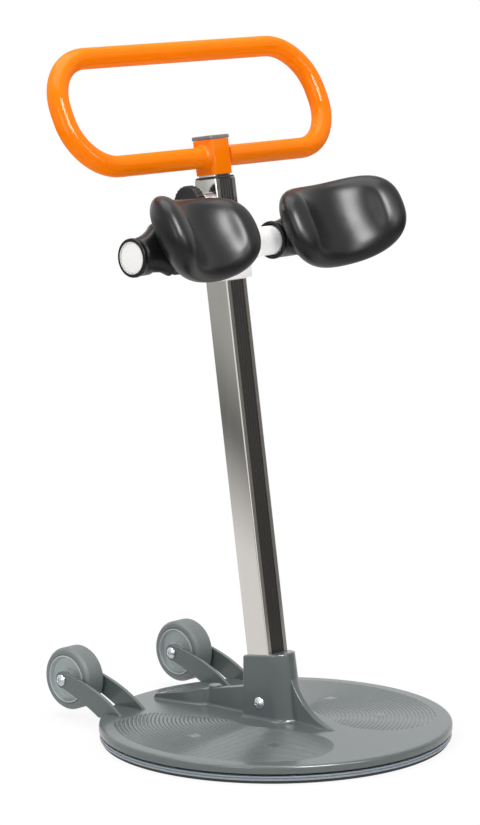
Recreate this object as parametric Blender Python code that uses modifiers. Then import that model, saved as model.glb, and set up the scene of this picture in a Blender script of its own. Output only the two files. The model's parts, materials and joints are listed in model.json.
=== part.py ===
"""Standing transfer aid.

A person stands on the foot plate with both shins against the cup pads and pulls up on the
loop. The foot plate turns on a floor disc, and two wheels at its back take the load when a
helper tips the aid back.

Metres, +Z up. The origin is on the turning axis, at the underside of the anti-slip mat.
-Y is the side where the person stands, and +Y is the helper's side, with the wheels.
Heights in the constants are measured from the underside of the floor disc, which the base
empty lifts by the mat's thickness. Heights on the column are measured along it.
"""

import math

import bmesh
import bpy
from mathutils import Matrix, Vector

# General
GAP = 0.0003
SMOOTH_ANGLE = math.radians(35)
DISC_STEPS = 48
ROUND_STEPS = 24
SMALL_STEPS = 12

# Floor stack
MAT_INSET = 0.0025
MAT_THICKNESS = 0.0040
DISC_INSET = 0.0010
DISC_THICKNESS = 0.0057
DISC_EDGE = 0.0012
GLIDE_INSET = 0.0240
GLIDE_WIDTH = 0.0120
GLIDE_THICKNESS = 0.0024

# Pivot
PIVOT_BOLT_RADIUS = 0.006
PIVOT_HEAD_RADIUS = 0.015
PIVOT_HEAD_HEIGHT = 0.0030
PIVOT_BOLT_PROUD = 0.0018
BUSH_WALL = 0.0027
BUSH_FLANGE_RADIUS = 0.018
HUB_SEAT = 0.0088
WASHER_RADIUS = 0.0130
WASHER_THICKNESS = 0.0018
PIVOT_NUT_FLATS = 0.019
PIVOT_NUT_HEIGHT = 0.0065
NUT_CLEARANCE = 0.0045

# Foot plate
PLATE_RADIUS = 0.2320
PLATE_RIM_HEIGHT = 0.0105
PLATE_EDGE_RADIUS = 0.0040
PLATE_EDGE_STEPS = 4
PLATE_LOW_CHAMFER = 0.0010
PLATE_RIM_WIDTH = 0.0105
PLATE_CROWN = 0.0045
PLATE_WEB = 0.0060
PLATE_SKIRT = 0.0070
HUB_RADIUS = 0.028
TRACK_CLEARANCE = 0.0010

# Foot zones of the plate
ZONE_DEPTH = 0.0018
ZONE_MARGIN = 0.0155
ZONE_FRONT_ANGLE = math.radians(-38)
ZONE_REAR_ANGLE = math.radians(43)
ZONE_STEPS = 14
ZONE_EDGE_STEPS = 2
ZONE_INNER_EDGE = (
    (0.0930, 0.1430),
    (0.0760, 0.1100),
    (0.0600, 0.0680),
    (0.0520, 0.0280),
    (0.0540, -0.0120),
    (0.0440, -0.0500),
    (0.0300, -0.0900),
    (0.0320, -0.1200),
    (0.0480, -0.1470),
    (0.0750, -0.1640),
    (0.1080, -0.1675),
    (0.1400, -0.1540),
)

# Column
COLUMN_LEAN = math.radians(8.12)
COLUMN_FOOT_Y = -0.0018
TUBE_SIDE = 0.038
TUBE_WALL = 0.0025
TUBE_CORNER = 0.0034
TUBE_FOOT_CLEARANCE = 0.0025
TUBE_LENGTH = 0.7005
RAIL_WIDTH = 0.0230
RAIL_THICKNESS = 0.0009
RAIL_RIBS = 5
RAIL_RIB_DEPTH = 0.00035
RAIL_NOTCH = 0.18
TOP_BUSH_FLANGE = 0.0030
TOP_BUSH_SLOPE = 0.0016
TOP_BUSH_DEPTH = 0.0260

# Socket, fin and gusset of the foot plate
SOCKET_TOP = 0.1077
SOCKET_WALL = 0.0067
SOCKET_SHIFT = -0.0022
SOCKET_DEPTH_EXTRA = 0.0025
SOCKET_TAPER = 0.0048
SOCKET_FLARE = 0.0030
SOCKET_CORNER = 0.0095
SOCKET_LIP = 0.0018
SOCKET_DEPTH_SHARE = 0.5
SOCKET_FLARE_POWER = 10
SOCKET_ROOT = 0.0045
SOCKET_LEVELS = (0.0, 0.09, 0.25, 1.0)
FIN_THICKNESS = 0.0090
FIN_DROP = 0.0060
FIN_REACH = 0.1010
FIN_ROOT = -0.0188
FIN_TOE = 0.0005
FIN_SWEEP = (-0.0530, 0.0300)
FIN_TOP_Y = -0.0318
FIN_STEPS = 9
FIN_OVERLAP = 0.0010
GUSSET_INSET = 0.0350
GUSSET_HEIGHT = 0.0632
GUSSET_START_Y = 0.0200
GUSSET_WAIST_HEIGHT = 0.0432
GUSSET_FLARE = 0.0110
GUSSET_FLARE_HEIGHT = 0.0418
GUSSET_FLARE_HALF_WIDTH = 0.0150
GUSSET_SHOULDER = 0.0320
GUSSET_SHOULDER_HEIGHT = 0.0358
GUSSET_TIP_RISE = 0.0062
GUSSET_HALF_WIDTH = 0.0085
GUSSET_SPREAD = 0.0210
GUSSET_TIP_HALF_WIDTH = 0.0285
GUSSET_DRAFT = 0.12
GUSSET_BOSS_RADIUS = 0.0085
GUSSET_BOSS_Y = 0.1142
GUSSET_BOSS_TOP = 0.0462
SOCKET_SCREW_HEIGHT = 0.0463
SOCKET_SCREW_Y = -0.0028
SOCKET_SCREW_RADIUS = 0.0040

# Wheels and forks
WHEEL_X = 0.1045
WHEEL_REACH = 0.0397
WHEEL_Z = 0.0504
TYRE_RADIUS = 0.0420
TYRE_WIDTH = 0.0325
TYRE_CORNER = 0.0048
TYRE_WALL = 0.0095
TYRE_SHOULDER = 0.3
HUB_WEB = 0.0120
HUB_RIM_WALL = 0.0030
HUB_DRAFT = 0.0020
WHEEL_BOSS_RADIUS = 0.0125
WHEEL_BUSH_WALL = 0.0030
WHEEL_SIDE_GAP = 0.0033
FORK_THICKNESS = 0.0050
FORK_EYE_RADIUS = 0.0115
FORK_FOOT_INSET = 0.0738
FORK_RISE_INSET = 0.0343
FORK_RISE_HEIGHT = 0.0505
FORK_UNDER_INSET = 0.0008
FORK_UNDER_HEIGHT = 0.0272
FORK_CORNER_INSET = 0.0300
FORK_EYE_START = math.radians(95)
FORK_EYE_END = math.radians(-100)
FORK_EYE_STEPS = 10
FORK_BACK_STEPS = 7
FORK_UNDER_STEPS = 5
AXLE_RADIUS = 0.0040
DOME_RADIUS = 0.0068
DOME_HEIGHT = 0.0050
NUT_FLATS = 0.0130
NUT_HEIGHT = 0.0065

# Handle
SLEEVE_REST = 0.0021
SLEEVE_LENGTH = 0.0458
SLEEVE_WALL = 0.0029
INNER_SIDE = 0.0294
INNER_WALL = 0.0020
INNER_CORNER = 0.0024
INNER_LENGTH = 0.4200
INNER_RAIL_WIDTH = 0.0190
GLIDE_BLOCK_LENGTH = 0.0300
GLIDE_BLOCK_CORNER = 0.0012
GLIDE_BLOCK_LIP = 0.0030
PEG_CORNER = 0.0010
CAP_THICKNESS = 0.0040
CAP_CROWN = 0.0012
CAP_CORNER = 0.0030
CAP_EDGE = 0.0026
CAP_SPIGOT = 0.0150
CAP_LEVELS = ((0.0, 0.0), (0.55, 0.0), (0.85, 0.33), (1.0, 1.0))
CAP_TOP_SHARE = 0.45
LOOP_TUBE = 0.0275
LOOP_WALL = 0.0020
LOOP_WIDTH = 0.4710
LOOP_HEIGHT = 0.1478
LOOP_BEND = 0.0680
LOOP_TILT = math.radians(17.6)
LOOP_RISE = 0.0232
LOOP_ARC_STEPS = 6
LOOP_SIDES = 12

# Height lock on the column
LOCK_MARGIN = 0.0050
LOCK_BOSS_RADIUS = 0.0122
LOCK_BOSS_LENGTH = 0.0120
LOCK_BOSS_CHAMFER = 0.0010
KNOB_RADIUS = 0.0232
KNOB_THICKNESS = 0.0140
KNOB_RIBS = 24
KNOB_RIB_DEPTH = 0.0010
KNOB_HUB_RADIUS = 0.0115
KNOB_HUB_LENGTH = 0.0060
KNOB_FACE_CHAMFER = 0.0015
KNOB_FACE_X = -0.0575
KNOB_SKIN = 0.0049
STUD_RADIUS = 0.0040

# Shin support
SUPPORT_MARGIN = 0.0086
SUPPORT_LENGTH = 0.0840
SUPPORT_WALL = 0.0054
LINER_WALL = 0.0015
LINER_INSET = 0.0005
SUPPORT_CORNER = 0.0080
SUPPORT_EDGE = 0.0015
CROSS_DROP = 0.0380
CROSS_Y = -0.0466
CROSS_RADIUS = 0.0190
CROSS_WALL = 0.0020
CROSS_HALF_LENGTH = 0.2104
SADDLE_WALL = 0.0050
PLUG_FLANGE = 0.0020
PLUG_SPIGOT = 0.0140
PLUG_CHAMFER = 0.0010
CLAMP_BOSS_RADIUS = 0.0115
CLAMP_BOSS_REACH = 0.0600
CLAMP_Y = 0.0050
CLAMP_DROP = 0.0450
CLAMP_KNOB_FACE_X = -0.0880

# Pads
PAD_INNER_END = 0.0495
PAD_OUTER_END = 0.2112
PAD_COLLAR_INNER = 0.0340
PAD_COLLAR_OUTER = 0.0240
PAD_COLLAR_WALL = 0.0034
PAD_RING_WALL = 0.0040
PAD_RING_LENGTH = 0.0060
PAD_RING_SLOPE = 2.0
PAD_COLLAR_CORE = 0.5
PAD_LINER_WALL = 0.0012
PAD_CENTRE_X = 0.1313
PAD_OFFSET = 0.0299
PAD_BEND_RADIUS = 0.1079
PAD_HALF_SPAN = 0.1040
PAD_HALF_HEIGHT = 0.0648
PAD_WAIST = 0.11
PAD_HALF_THICKNESS = 0.0202
PAD_LOBE_EXTRA = 0.0068
PAD_DISH = 0.0060
PAD_SQUARENESS = 0.81
PAD_FULLNESS = 0.60
PAD_DISH_SPREAD = 0.72
PAD_DISH_POWER = 1.5
PAD_TOE_IN = math.radians(11.5)
PAD_TILTS = {"left": math.radians(32.7), "right": math.radians(28.6)}
PAD_NECK_HALF_HEIGHT = 0.0200
PAD_NECK_REACH = 0.0020
PAD_NECK_BACK = 0.0040
PAD_NECK_START = 0.0120
PAD_NECK_SPREAD = 0.0240
PAD_NECK_SHAPE = ((0.0, 0.34), (0.15, 0.62), (0.45, 0.86), (1.0, 1.0))
PAD_NECK_TAPER = 0.70
PAD_NECK_MIDDLE = 0.5
PAD_RINGS = 14
PAD_SEGMENTS = 30

# Colours, as linear values
PLATE_GREY = (0.140, 0.165, 0.165)
TYRE_GREY = (0.110, 0.125, 0.128)
HUB_GREY = (0.123, 0.140, 0.143)
DISC_GREY = (0.450, 0.520, 0.600)
MAT_BLACK = (0.030, 0.032, 0.034)
CHROME = (0.640, 0.620, 0.600)
ZINC = (0.600, 0.640, 0.680)
RAIL_BLACK = (0.022, 0.020, 0.019)
ORANGE = (1.000, 0.235, 0.003)
CAP_GREY = (0.210, 0.220, 0.230)
WHITE = (0.870, 0.860, 0.840)
PLUG_WHITE = (0.800, 0.790, 0.780)
PAD_BLACK = (0.022, 0.022, 0.023)
KNOB_BLACK = (0.028, 0.027, 0.027)
ACETAL = (0.750, 0.740, 0.710)

for old in list(bpy.data.objects):
    bpy.data.objects.remove(old, do_unlink=True)
PARTS = bpy.data.collections.new("standing_transfer_aid")
GUIDES = bpy.data.collections.new("cutters")
bpy.context.scene.collection.children.link(PARTS)
bpy.context.scene.collection.children.link(GUIDES)

BASE = bpy.data.objects.new("base", None)
BASE.location = (0.0, 0.0, MAT_THICKNESS + GAP)
PARTS.objects.link(BASE)


def material(name, colour, roughness, metallic=0.0):
    """A Principled material of one colour."""
    made = bpy.data.materials.new(name)
    made.use_nodes = True
    shader = made.node_tree.nodes["Principled BSDF"]
    shader.inputs["Base Color"].default_value = (*colour, 1.0)
    shader.inputs["Roughness"].default_value = roughness
    shader.inputs["Metallic"].default_value = metallic
    made.diffuse_color = (*colour, 1.0)
    return made


def empty(name, parent=None, matrix=None):
    """A joint or frame that pieces hang from."""
    made = bpy.data.objects.new(name, None)
    made.empty_display_size = 0.03
    PARTS.objects.link(made)
    made.parent = parent or BASE
    if matrix is not None:
        made.matrix_local = matrix
    return made


def add(name, data, parent=None, matrix=None, colour=None):
    """Links one finished piece under its parent frame."""
    made = bpy.data.objects.new(name, data)
    PARTS.objects.link(made)
    made.parent = parent or BASE
    if matrix is not None:
        made.matrix_local = matrix
    if colour is not None:
        data.materials.append(colour)
    return made


def guide(name, data, parent=None, matrix=None):
    """A cutter, or a shape to be joined, which isn't a part itself."""
    made = bpy.data.objects.new(name, data)
    GUIDES.objects.link(made)
    made.parent = parent or BASE
    if matrix is not None:
        made.matrix_local = matrix
    made.hide_render = True
    made.display_type = "WIRE"
    return made


def mesh_from(bm, name="shape"):
    """Ends a bmesh as a mesh with its faces pointing out and its round sides smooth."""
    bmesh.ops.recalc_face_normals(bm, faces=bm.faces)
    data = bpy.data.meshes.new(name)
    bm.to_mesh(data)
    bm.free()
    return smooth(data)


def smooth(data):
    """Round sides smooth, corners sharp."""
    data.shade_smooth()
    data.set_sharp_from_angle(angle=SMOOTH_ANGLE)
    return data


def box(low, high):
    """A box between two corners."""
    low, high = Vector(low), Vector(high)
    bm = bmesh.new()
    place = Matrix.Translation((low + high) / 2) @ Matrix.Diagonal((*(high - low), 1.0))
    bmesh.ops.create_cube(bm, size=1.0, matrix=place)
    return mesh_from(bm)


def rod(radius, start, end, sides=ROUND_STEPS):
    """A cylinder between two points."""
    start, end = Vector(start), Vector(end)
    turn = (end - start).to_track_quat("Z", "Y").to_matrix().to_4x4()
    bm = bmesh.new()
    bmesh.ops.create_cone(
        bm,
        cap_ends=True,
        segments=sides,
        radius1=radius,
        radius2=radius,
        depth=(end - start).length,
        matrix=Matrix.Translation((start + end) / 2) @ turn,
    )
    return mesh_from(bm)


def turned(name, profile, sides, maker=add, closed=True, **placing):
    """Turns a profile of (radius, height) points about local Z with a Screw modifier.

    A closed profile makes a ring, and an open one starts and ends on the axis.
    """
    area = sum(
        a[0] * b[1] - b[0] * a[1] for a, b in zip(profile, profile[1:] + profile[:1])
    )
    points = profile[::-1] if area > 0 else profile
    if not closed and points[0][0] > GAP:
        first = min(range(len(points)), key=lambda i: (points[i][0], -points[i][1]))
        points = points[first:] + points[:first]
    bm = bmesh.new()
    corners = [bm.verts.new((r, 0.0, z)) for r, z in points]
    for a, b in zip(corners, corners[1:]):
        bm.edges.new((a, b))
    if closed:
        bm.edges.new((corners[-1], corners[0]))
    data = bpy.data.meshes.new(name)
    bm.to_mesh(data)
    bm.free()
    made = maker(name, data, **placing)
    screw = made.modifiers.new("turn", "SCREW")
    screw.axis = "Z"
    screw.angle = 2 * math.pi
    screw.steps = sides
    screw.render_steps = sides
    screw.use_merge_vertices = True
    screw.merge_threshold = 0.00001
    screw.use_smooth_shade = True
    return made


def outline_mesh(outline, thickness):
    """A flat outline in XY, filled and given a thickness along Z."""
    curve = bpy.data.curves.new("outline", "CURVE")
    curve.dimensions = "2D"
    curve.fill_mode = "BOTH"
    curve.extrude = thickness / 2
    line = curve.splines.new("POLY")
    line.points.add(len(outline) - 1)
    for point, (x, y) in zip(line.points, outline):
        point.co = (x, y, 0.0, 1.0)
    line.use_cyclic_u = True
    holder = bpy.data.objects.new("outline", curve)
    return solid_from_curve(holder)


def solid_from_curve(holder):
    """The mesh of a curve object, with its loose caps welded. The curve is removed."""
    bpy.context.scene.collection.objects.link(holder)
    bpy.context.view_layer.update()
    graph = bpy.context.evaluated_depsgraph_get()
    data = bpy.data.meshes.new_from_object(holder.evaluated_get(graph))
    bpy.data.objects.remove(holder, do_unlink=True)
    bm = bmesh.new()
    bm.from_mesh(data)
    bmesh.ops.remove_doubles(bm, verts=bm.verts, dist=0.00001)
    bpy.data.meshes.remove(data)
    return mesh_from(bm)


def rounded_square(half_x, half_y, corner, shift_y=0.0, steps=3):
    """The corners of a rectangle with round corners, anticlockwise."""
    points = []
    for turn, (sx, sy) in enumerate(((1, 1), (-1, 1), (-1, -1), (1, -1))):
        for step in range(steps + 1):
            angle = math.pi / 2 * (turn + step / steps)
            x = sx * (half_x - corner) + corner * math.cos(angle)
            y = sy * (half_y - corner) + corner * math.sin(angle)
            points.append((x, y + shift_y))
    return points


def loft(sections, closed_ends=True):
    """A skin over sections of equally many points, each a list of (x, y, z)."""
    bm = bmesh.new()
    rows = [[bm.verts.new(point) for point in section] for section in sections]
    count = len(rows[0])
    for low, high in zip(rows, rows[1:]):
        for i in range(count):
            j = (i + 1) % count
            bm.faces.new((low[i], low[j], high[j], high[i]))
    if closed_ends:
        bm.faces.new(rows[0][::-1])
        bm.faces.new(rows[-1])
    return mesh_from(bm)


def square_bar(side_x, side_y, corner, low, high, steps=3):
    """A straight bar along Z of rounded rectangular section."""
    outline = rounded_square(side_x / 2, side_y / 2, corner, steps=steps)
    return loft([[(x, y, z) for x, y in outline] for z in (low, high)])


def boolean(target, other, operation="DIFFERENCE"):
    """Cuts a guide from a part, or joins it."""
    step = target.modifiers.new(operation.lower(), "BOOLEAN")
    step.operation = operation
    step.solver = "EXACT"
    step.object = other
    return target


def rounded(target, width, steps=2, angle=math.radians(40)):
    """Rounds the part's edges."""
    bevel = target.modifiers.new("round", "BEVEL")
    bevel.width = width
    bevel.segments = steps
    bevel.limit_method = "ANGLE"
    bevel.angle_limit = angle
    bevel.harden_normals = False
    return target


def arc(centre, radius, start, end, steps):
    """Points along an arc, as (x, y)."""
    return [
        (
            centre[0] + radius * math.cos(start + (end - start) * i / steps),
            centre[1] + radius * math.sin(start + (end - start) * i / steps),
        )
        for i in range(steps + 1)
    ]


def bend_line(first, middle, last, steps):
    """Points along a quadratic curve."""
    points = []
    for i in range(steps + 1):
        t = i / steps
        weights = ((1 - t) ** 2, 2 * t * (1 - t), t * t)
        points.append(
            tuple(
                sum(w * p[k] for w, p in zip(weights, (first, middle, last)))
                for k in range(2)
            )
        )
    return points


PAINT_PLATE = material("moulded_grey", PLATE_GREY, 0.42)
PAINT_TYRE = material("tyre_grey", TYRE_GREY, 0.55)
PAINT_HUB = material("hub_grey", HUB_GREY, 0.45)
PAINT_DISC = material("disc_grey", DISC_GREY, 0.35, 0.3)
RUBBER = material("mat_rubber", MAT_BLACK, 0.8)
BRIGHT = material("chrome", CHROME, 0.12, 1.0)
STEEL = material("zinc_steel", ZINC, 0.3, 1.0)
BLACK_RAIL = material("rail_black", RAIL_BLACK, 0.3)
PAINT_ORANGE = material("orange_enamel", ORANGE, 0.25)
PLASTIC_CAP = material("cap_grey", CAP_GREY, 0.45)
PAINT_WHITE = material("white_enamel", WHITE, 0.35)
PLASTIC_WHITE = material("white_plastic", PLUG_WHITE, 0.42)
FOAM = material("pad_black", PAD_BLACK, 0.35)
PLASTIC_KNOB = material("knob_black", KNOB_BLACK, 0.5)
LINER = material("acetal", ACETAL, 0.5)

UPRIGHT = Matrix(((0, 0, 1, 0), (1, 0, 0, 0), (0, 1, 0, 0), (0, 0, 0, 1)))
ALONG_X = Matrix.Rotation(math.pi / 2, 4, "Y")

DISC_RADIUS = PLATE_RADIUS - DISC_INSET
MAT_RADIUS = DISC_RADIUS - MAT_INSET
GLIDE_OUTER = PLATE_RADIUS - GLIDE_INSET
GLIDE_INNER = GLIDE_OUTER - GLIDE_WIDTH
GLIDE_LOW = DISC_THICKNESS + GAP
PLATE_LOW = GLIDE_LOW + GLIDE_THICKNESS + GAP
PLATE_RIM_TOP = PLATE_LOW + PLATE_RIM_HEIGHT
PLATE_CENTRE_TOP = PLATE_RIM_TOP + PLATE_CROWN
WASHER_LOW = PLATE_LOW + HUB_SEAT + GAP
NUT_LOW = WASHER_LOW + WASHER_THICKNESS + GAP
PIVOT_BOLT_END = NUT_LOW + PIVOT_NUT_HEIGHT + PIVOT_BOLT_PROUD
TUBE_BOTTOM = PIVOT_BOLT_END + TUBE_FOOT_CLEARANCE
TUBE_TOP = TUBE_BOTTOM + TUBE_LENGTH
ZONE_OUTER = PLATE_RADIUS - ZONE_MARGIN
GUSSET_REACH = PLATE_RADIUS - GUSSET_INSET
WHEEL_Y = PLATE_RADIUS + WHEEL_REACH
TYRE_SEAT = TYRE_RADIUS - TYRE_WALL
SLEEVE_BOTTOM = TUBE_TOP + GAP + TOP_BUSH_FLANGE + SLEEVE_REST
SLEEVE_TOP = SLEEVE_BOTTOM + SLEEVE_LENGTH
LOOP_CENTRE_HEIGHT = SLEEVE_BOTTOM + LOOP_RISE
LOCK_HEIGHT = TUBE_TOP - KNOB_RADIUS - LOCK_MARGIN
SUPPORT_TOP = LOCK_HEIGHT - LOCK_BOSS_RADIUS - SUPPORT_MARGIN
SUPPORT_BOTTOM = SUPPORT_TOP - SUPPORT_LENGTH
CROSS_HEIGHT = SUPPORT_TOP - CROSS_DROP
CLAMP_HEIGHT = SUPPORT_TOP - CLAMP_DROP


def plate_top(radius, drop=0.0):
    """Height of the plate's gently domed top at a radius, lowered by drop."""
    edge = PLATE_RADIUS - PLATE_RIM_WIDTH
    return PLATE_RIM_TOP + PLATE_CROWN * (1 - radius / edge) - drop


def make_floor_stack():
    """Mat, floor disc and glide ring, which stay still on the floor."""
    turned(
        "anti_slip_mat",
        [
            (0.0, -GAP),
            (MAT_RADIUS, -GAP),
            (MAT_RADIUS, -GAP - MAT_THICKNESS),
            (0.0, -GAP - MAT_THICKNESS),
        ],
        DISC_STEPS,
        closed=False,
        colour=RUBBER,
    )
    bore = PIVOT_BOLT_RADIUS + GAP
    recess = PIVOT_HEAD_RADIUS + GAP
    recess_top = PIVOT_HEAD_HEIGHT + GAP
    turned(
        "floor_disc",
        [
            (bore, DISC_THICKNESS),
            (DISC_RADIUS - DISC_EDGE, DISC_THICKNESS),
            (DISC_RADIUS, DISC_THICKNESS - DISC_EDGE),
            (DISC_RADIUS, 0.0),
            (recess, 0.0),
            (recess, recess_top),
            (bore, recess_top),
        ],
        DISC_STEPS,
        colour=PAINT_DISC,
    )
    turned(
        "glide_ring",
        [
            (GLIDE_OUTER, GLIDE_LOW + GLIDE_THICKNESS),
            (GLIDE_OUTER, GLIDE_LOW),
            (GLIDE_INNER, GLIDE_LOW),
            (GLIDE_INNER, GLIDE_LOW + GLIDE_THICKNESS),
        ],
        DISC_STEPS,
        colour=LINER,
    )


def make_pivot():
    """The bolt that holds the plate down on the disc, with its washer, nut and bush."""
    turned(
        "pivot_bolt",
        [
            (0.0, PIVOT_BOLT_END),
            (PIVOT_BOLT_RADIUS, PIVOT_BOLT_END),
            (PIVOT_BOLT_RADIUS, PIVOT_HEAD_HEIGHT),
            (PIVOT_HEAD_RADIUS, PIVOT_HEAD_HEIGHT),
            (PIVOT_HEAD_RADIUS, 0.0),
            (0.0, 0.0),
        ],
        ROUND_STEPS,
        closed=False,
        colour=STEEL,
    )
    bore = PIVOT_BOLT_RADIUS + GAP
    outer = bore + BUSH_WALL
    turned(
        "pivot_bush",
        [
            (bore, PLATE_LOW + HUB_SEAT),
            (outer, PLATE_LOW + HUB_SEAT),
            (outer, PLATE_LOW - GAP),
            (BUSH_FLANGE_RADIUS, PLATE_LOW - GAP),
            (BUSH_FLANGE_RADIUS, GLIDE_LOW),
            (bore, GLIDE_LOW),
        ],
        ROUND_STEPS,
        colour=LINER,
    )
    washer_top = WASHER_LOW + WASHER_THICKNESS
    turned(
        "pivot_washer",
        [
            (bore, washer_top),
            (WASHER_RADIUS, washer_top),
            (WASHER_RADIUS, WASHER_LOW),
            (bore, WASHER_LOW),
        ],
        ROUND_STEPS,
        colour=STEEL,
    )
    nut = add(
        "pivot_nut",
        rod(
            PIVOT_NUT_FLATS / math.sqrt(3),
            (0, 0, NUT_LOW),
            (0, 0, NUT_LOW + PIVOT_NUT_HEIGHT),
            sides=6,
        ),
        colour=STEEL,
    )
    hole = guide("pivot_nut_hole", rod(bore, (0, 0, 0), (0, 0, PIVOT_BOLT_END * 2)))
    boolean(nut, hole)


def smooth_line(points, steps):
    """Points along a curve that passes through the given ones, without its two ends."""
    found = []
    for before, start, end, after in zip(points, points[1:], points[2:], points[3:]):
        for i in range(steps):
            t = i / steps
            weights = (
                (-t + 2 * t**2 - t**3) / 2,
                (2 - 5 * t**2 + 3 * t**3) / 2,
                (t + 4 * t**2 - 3 * t**3) / 2,
                (t**3 - t**2) / 2,
            )
            corners = (before, start, end, after)
            found.append(tuple(sum(w * p[k] for w, p in zip(weights, corners)) for k in (0, 1)))
    found.append(points[-2])
    return found


def zone_outline(side):
    """The edge of one foot zone: an arc near the rim, then the inner edge."""
    outer = arc((0, 0), ZONE_OUTER, ZONE_FRONT_ANGLE, ZONE_REAR_ANGLE, ZONE_STEPS)
    inner = smooth_line([outer[-1], *ZONE_INNER_EDGE, outer[0]], ZONE_EDGE_STEPS)
    return [(side * x, y) for x, y in outer + inner]


def zone_floor():
    """Profile of the space cut from the foot zones, with its underside along the dome."""
    high = plate_top(0.0) + ZONE_DEPTH
    inner = HUB_RADIUS
    outer = PLATE_RADIUS
    return [
        (inner, high),
        (outer, high),
        (outer, plate_top(outer, ZONE_DEPTH)),
        (inner, plate_top(inner, ZONE_DEPTH)),
    ]


def socket_grow(height):
    """How far the socket's sides stand out from their top size: a taper and a foot flare."""
    share = (height - PLATE_CENTRE_TOP) / (SOCKET_TOP - SOCKET_LIP - PLATE_CENTRE_TOP)
    return SOCKET_TAPER * (1 - share) + SOCKET_FLARE * (1 - share) ** SOCKET_FLARE_POWER


def socket_sections():
    """Sections of the socket in the column's frame, from inside the plate to its rim."""
    half_x = TUBE_SIDE / 2 + GAP + SOCKET_WALL
    half_y = half_x + SOCKET_DEPTH_EXTRA
    levels = [(PLATE_LOW + SOCKET_ROOT, SOCKET_TAPER + 2 * SOCKET_FLARE)]
    for share in SOCKET_LEVELS:
        height = PLATE_CENTRE_TOP + share * (SOCKET_TOP - SOCKET_LIP - PLATE_CENTRE_TOP)
        levels.append((height, socket_grow(height)))
    levels.append((SOCKET_TOP, -SOCKET_LIP))
    sections = []
    for height, grow in levels:
        outline = rounded_square(
            half_x + grow,
            half_y + grow * SOCKET_DEPTH_SHARE,
            SOCKET_CORNER + grow * SOCKET_DEPTH_SHARE,
            shift_y=SOCKET_SHIFT,
        )
        sections.append([(x, y, height) for x, y in outline])
    return sections


def fin_outline():
    """Side view of the front fin, as (y, z), with its concave sweep down to the plate."""
    top = SOCKET_TOP * math.cos(COLUMN_LEAN) - FIN_DROP
    foot = (-FIN_REACH, plate_top(FIN_REACH, PLATE_WEB / 2))
    toe = (-FIN_REACH, plate_top(FIN_REACH) + FIN_TOE)
    sweep = bend_line((FIN_TOP_Y, top), FIN_SWEEP, toe, FIN_STEPS)
    low = PLATE_RIM_TOP - FIN_OVERLAP
    return sweep + [foot, (FIN_ROOT, low), (FIN_ROOT, top - FIN_OVERLAP)]


def gusset_sections():
    """Sections of the rear gusset across Y: narrow from socket to boss, then wide and low."""
    stations = (
        (GUSSET_START_Y, GUSSET_HEIGHT, GUSSET_HALF_WIDTH),
        (GUSSET_BOSS_Y, GUSSET_WAIST_HEIGHT, GUSSET_HALF_WIDTH),
        (GUSSET_BOSS_Y + GUSSET_FLARE, GUSSET_FLARE_HEIGHT, GUSSET_FLARE_HALF_WIDTH),
        (GUSSET_BOSS_Y + GUSSET_SHOULDER, GUSSET_SHOULDER_HEIGHT, GUSSET_SPREAD),
        (GUSSET_REACH, PLATE_RIM_TOP + GUSSET_TIP_RISE, GUSSET_TIP_HALF_WIDTH),
    )
    sections = []
    for y, top, half in stations:
        low = PLATE_LOW + PLATE_WEB
        draft = GUSSET_DRAFT * (top - low)
        foot = half + draft
        sections.append(
            [(-foot, y, low), (foot, y, low), (half, y, top), (-half, y, top)]
        )
    return sections


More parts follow.
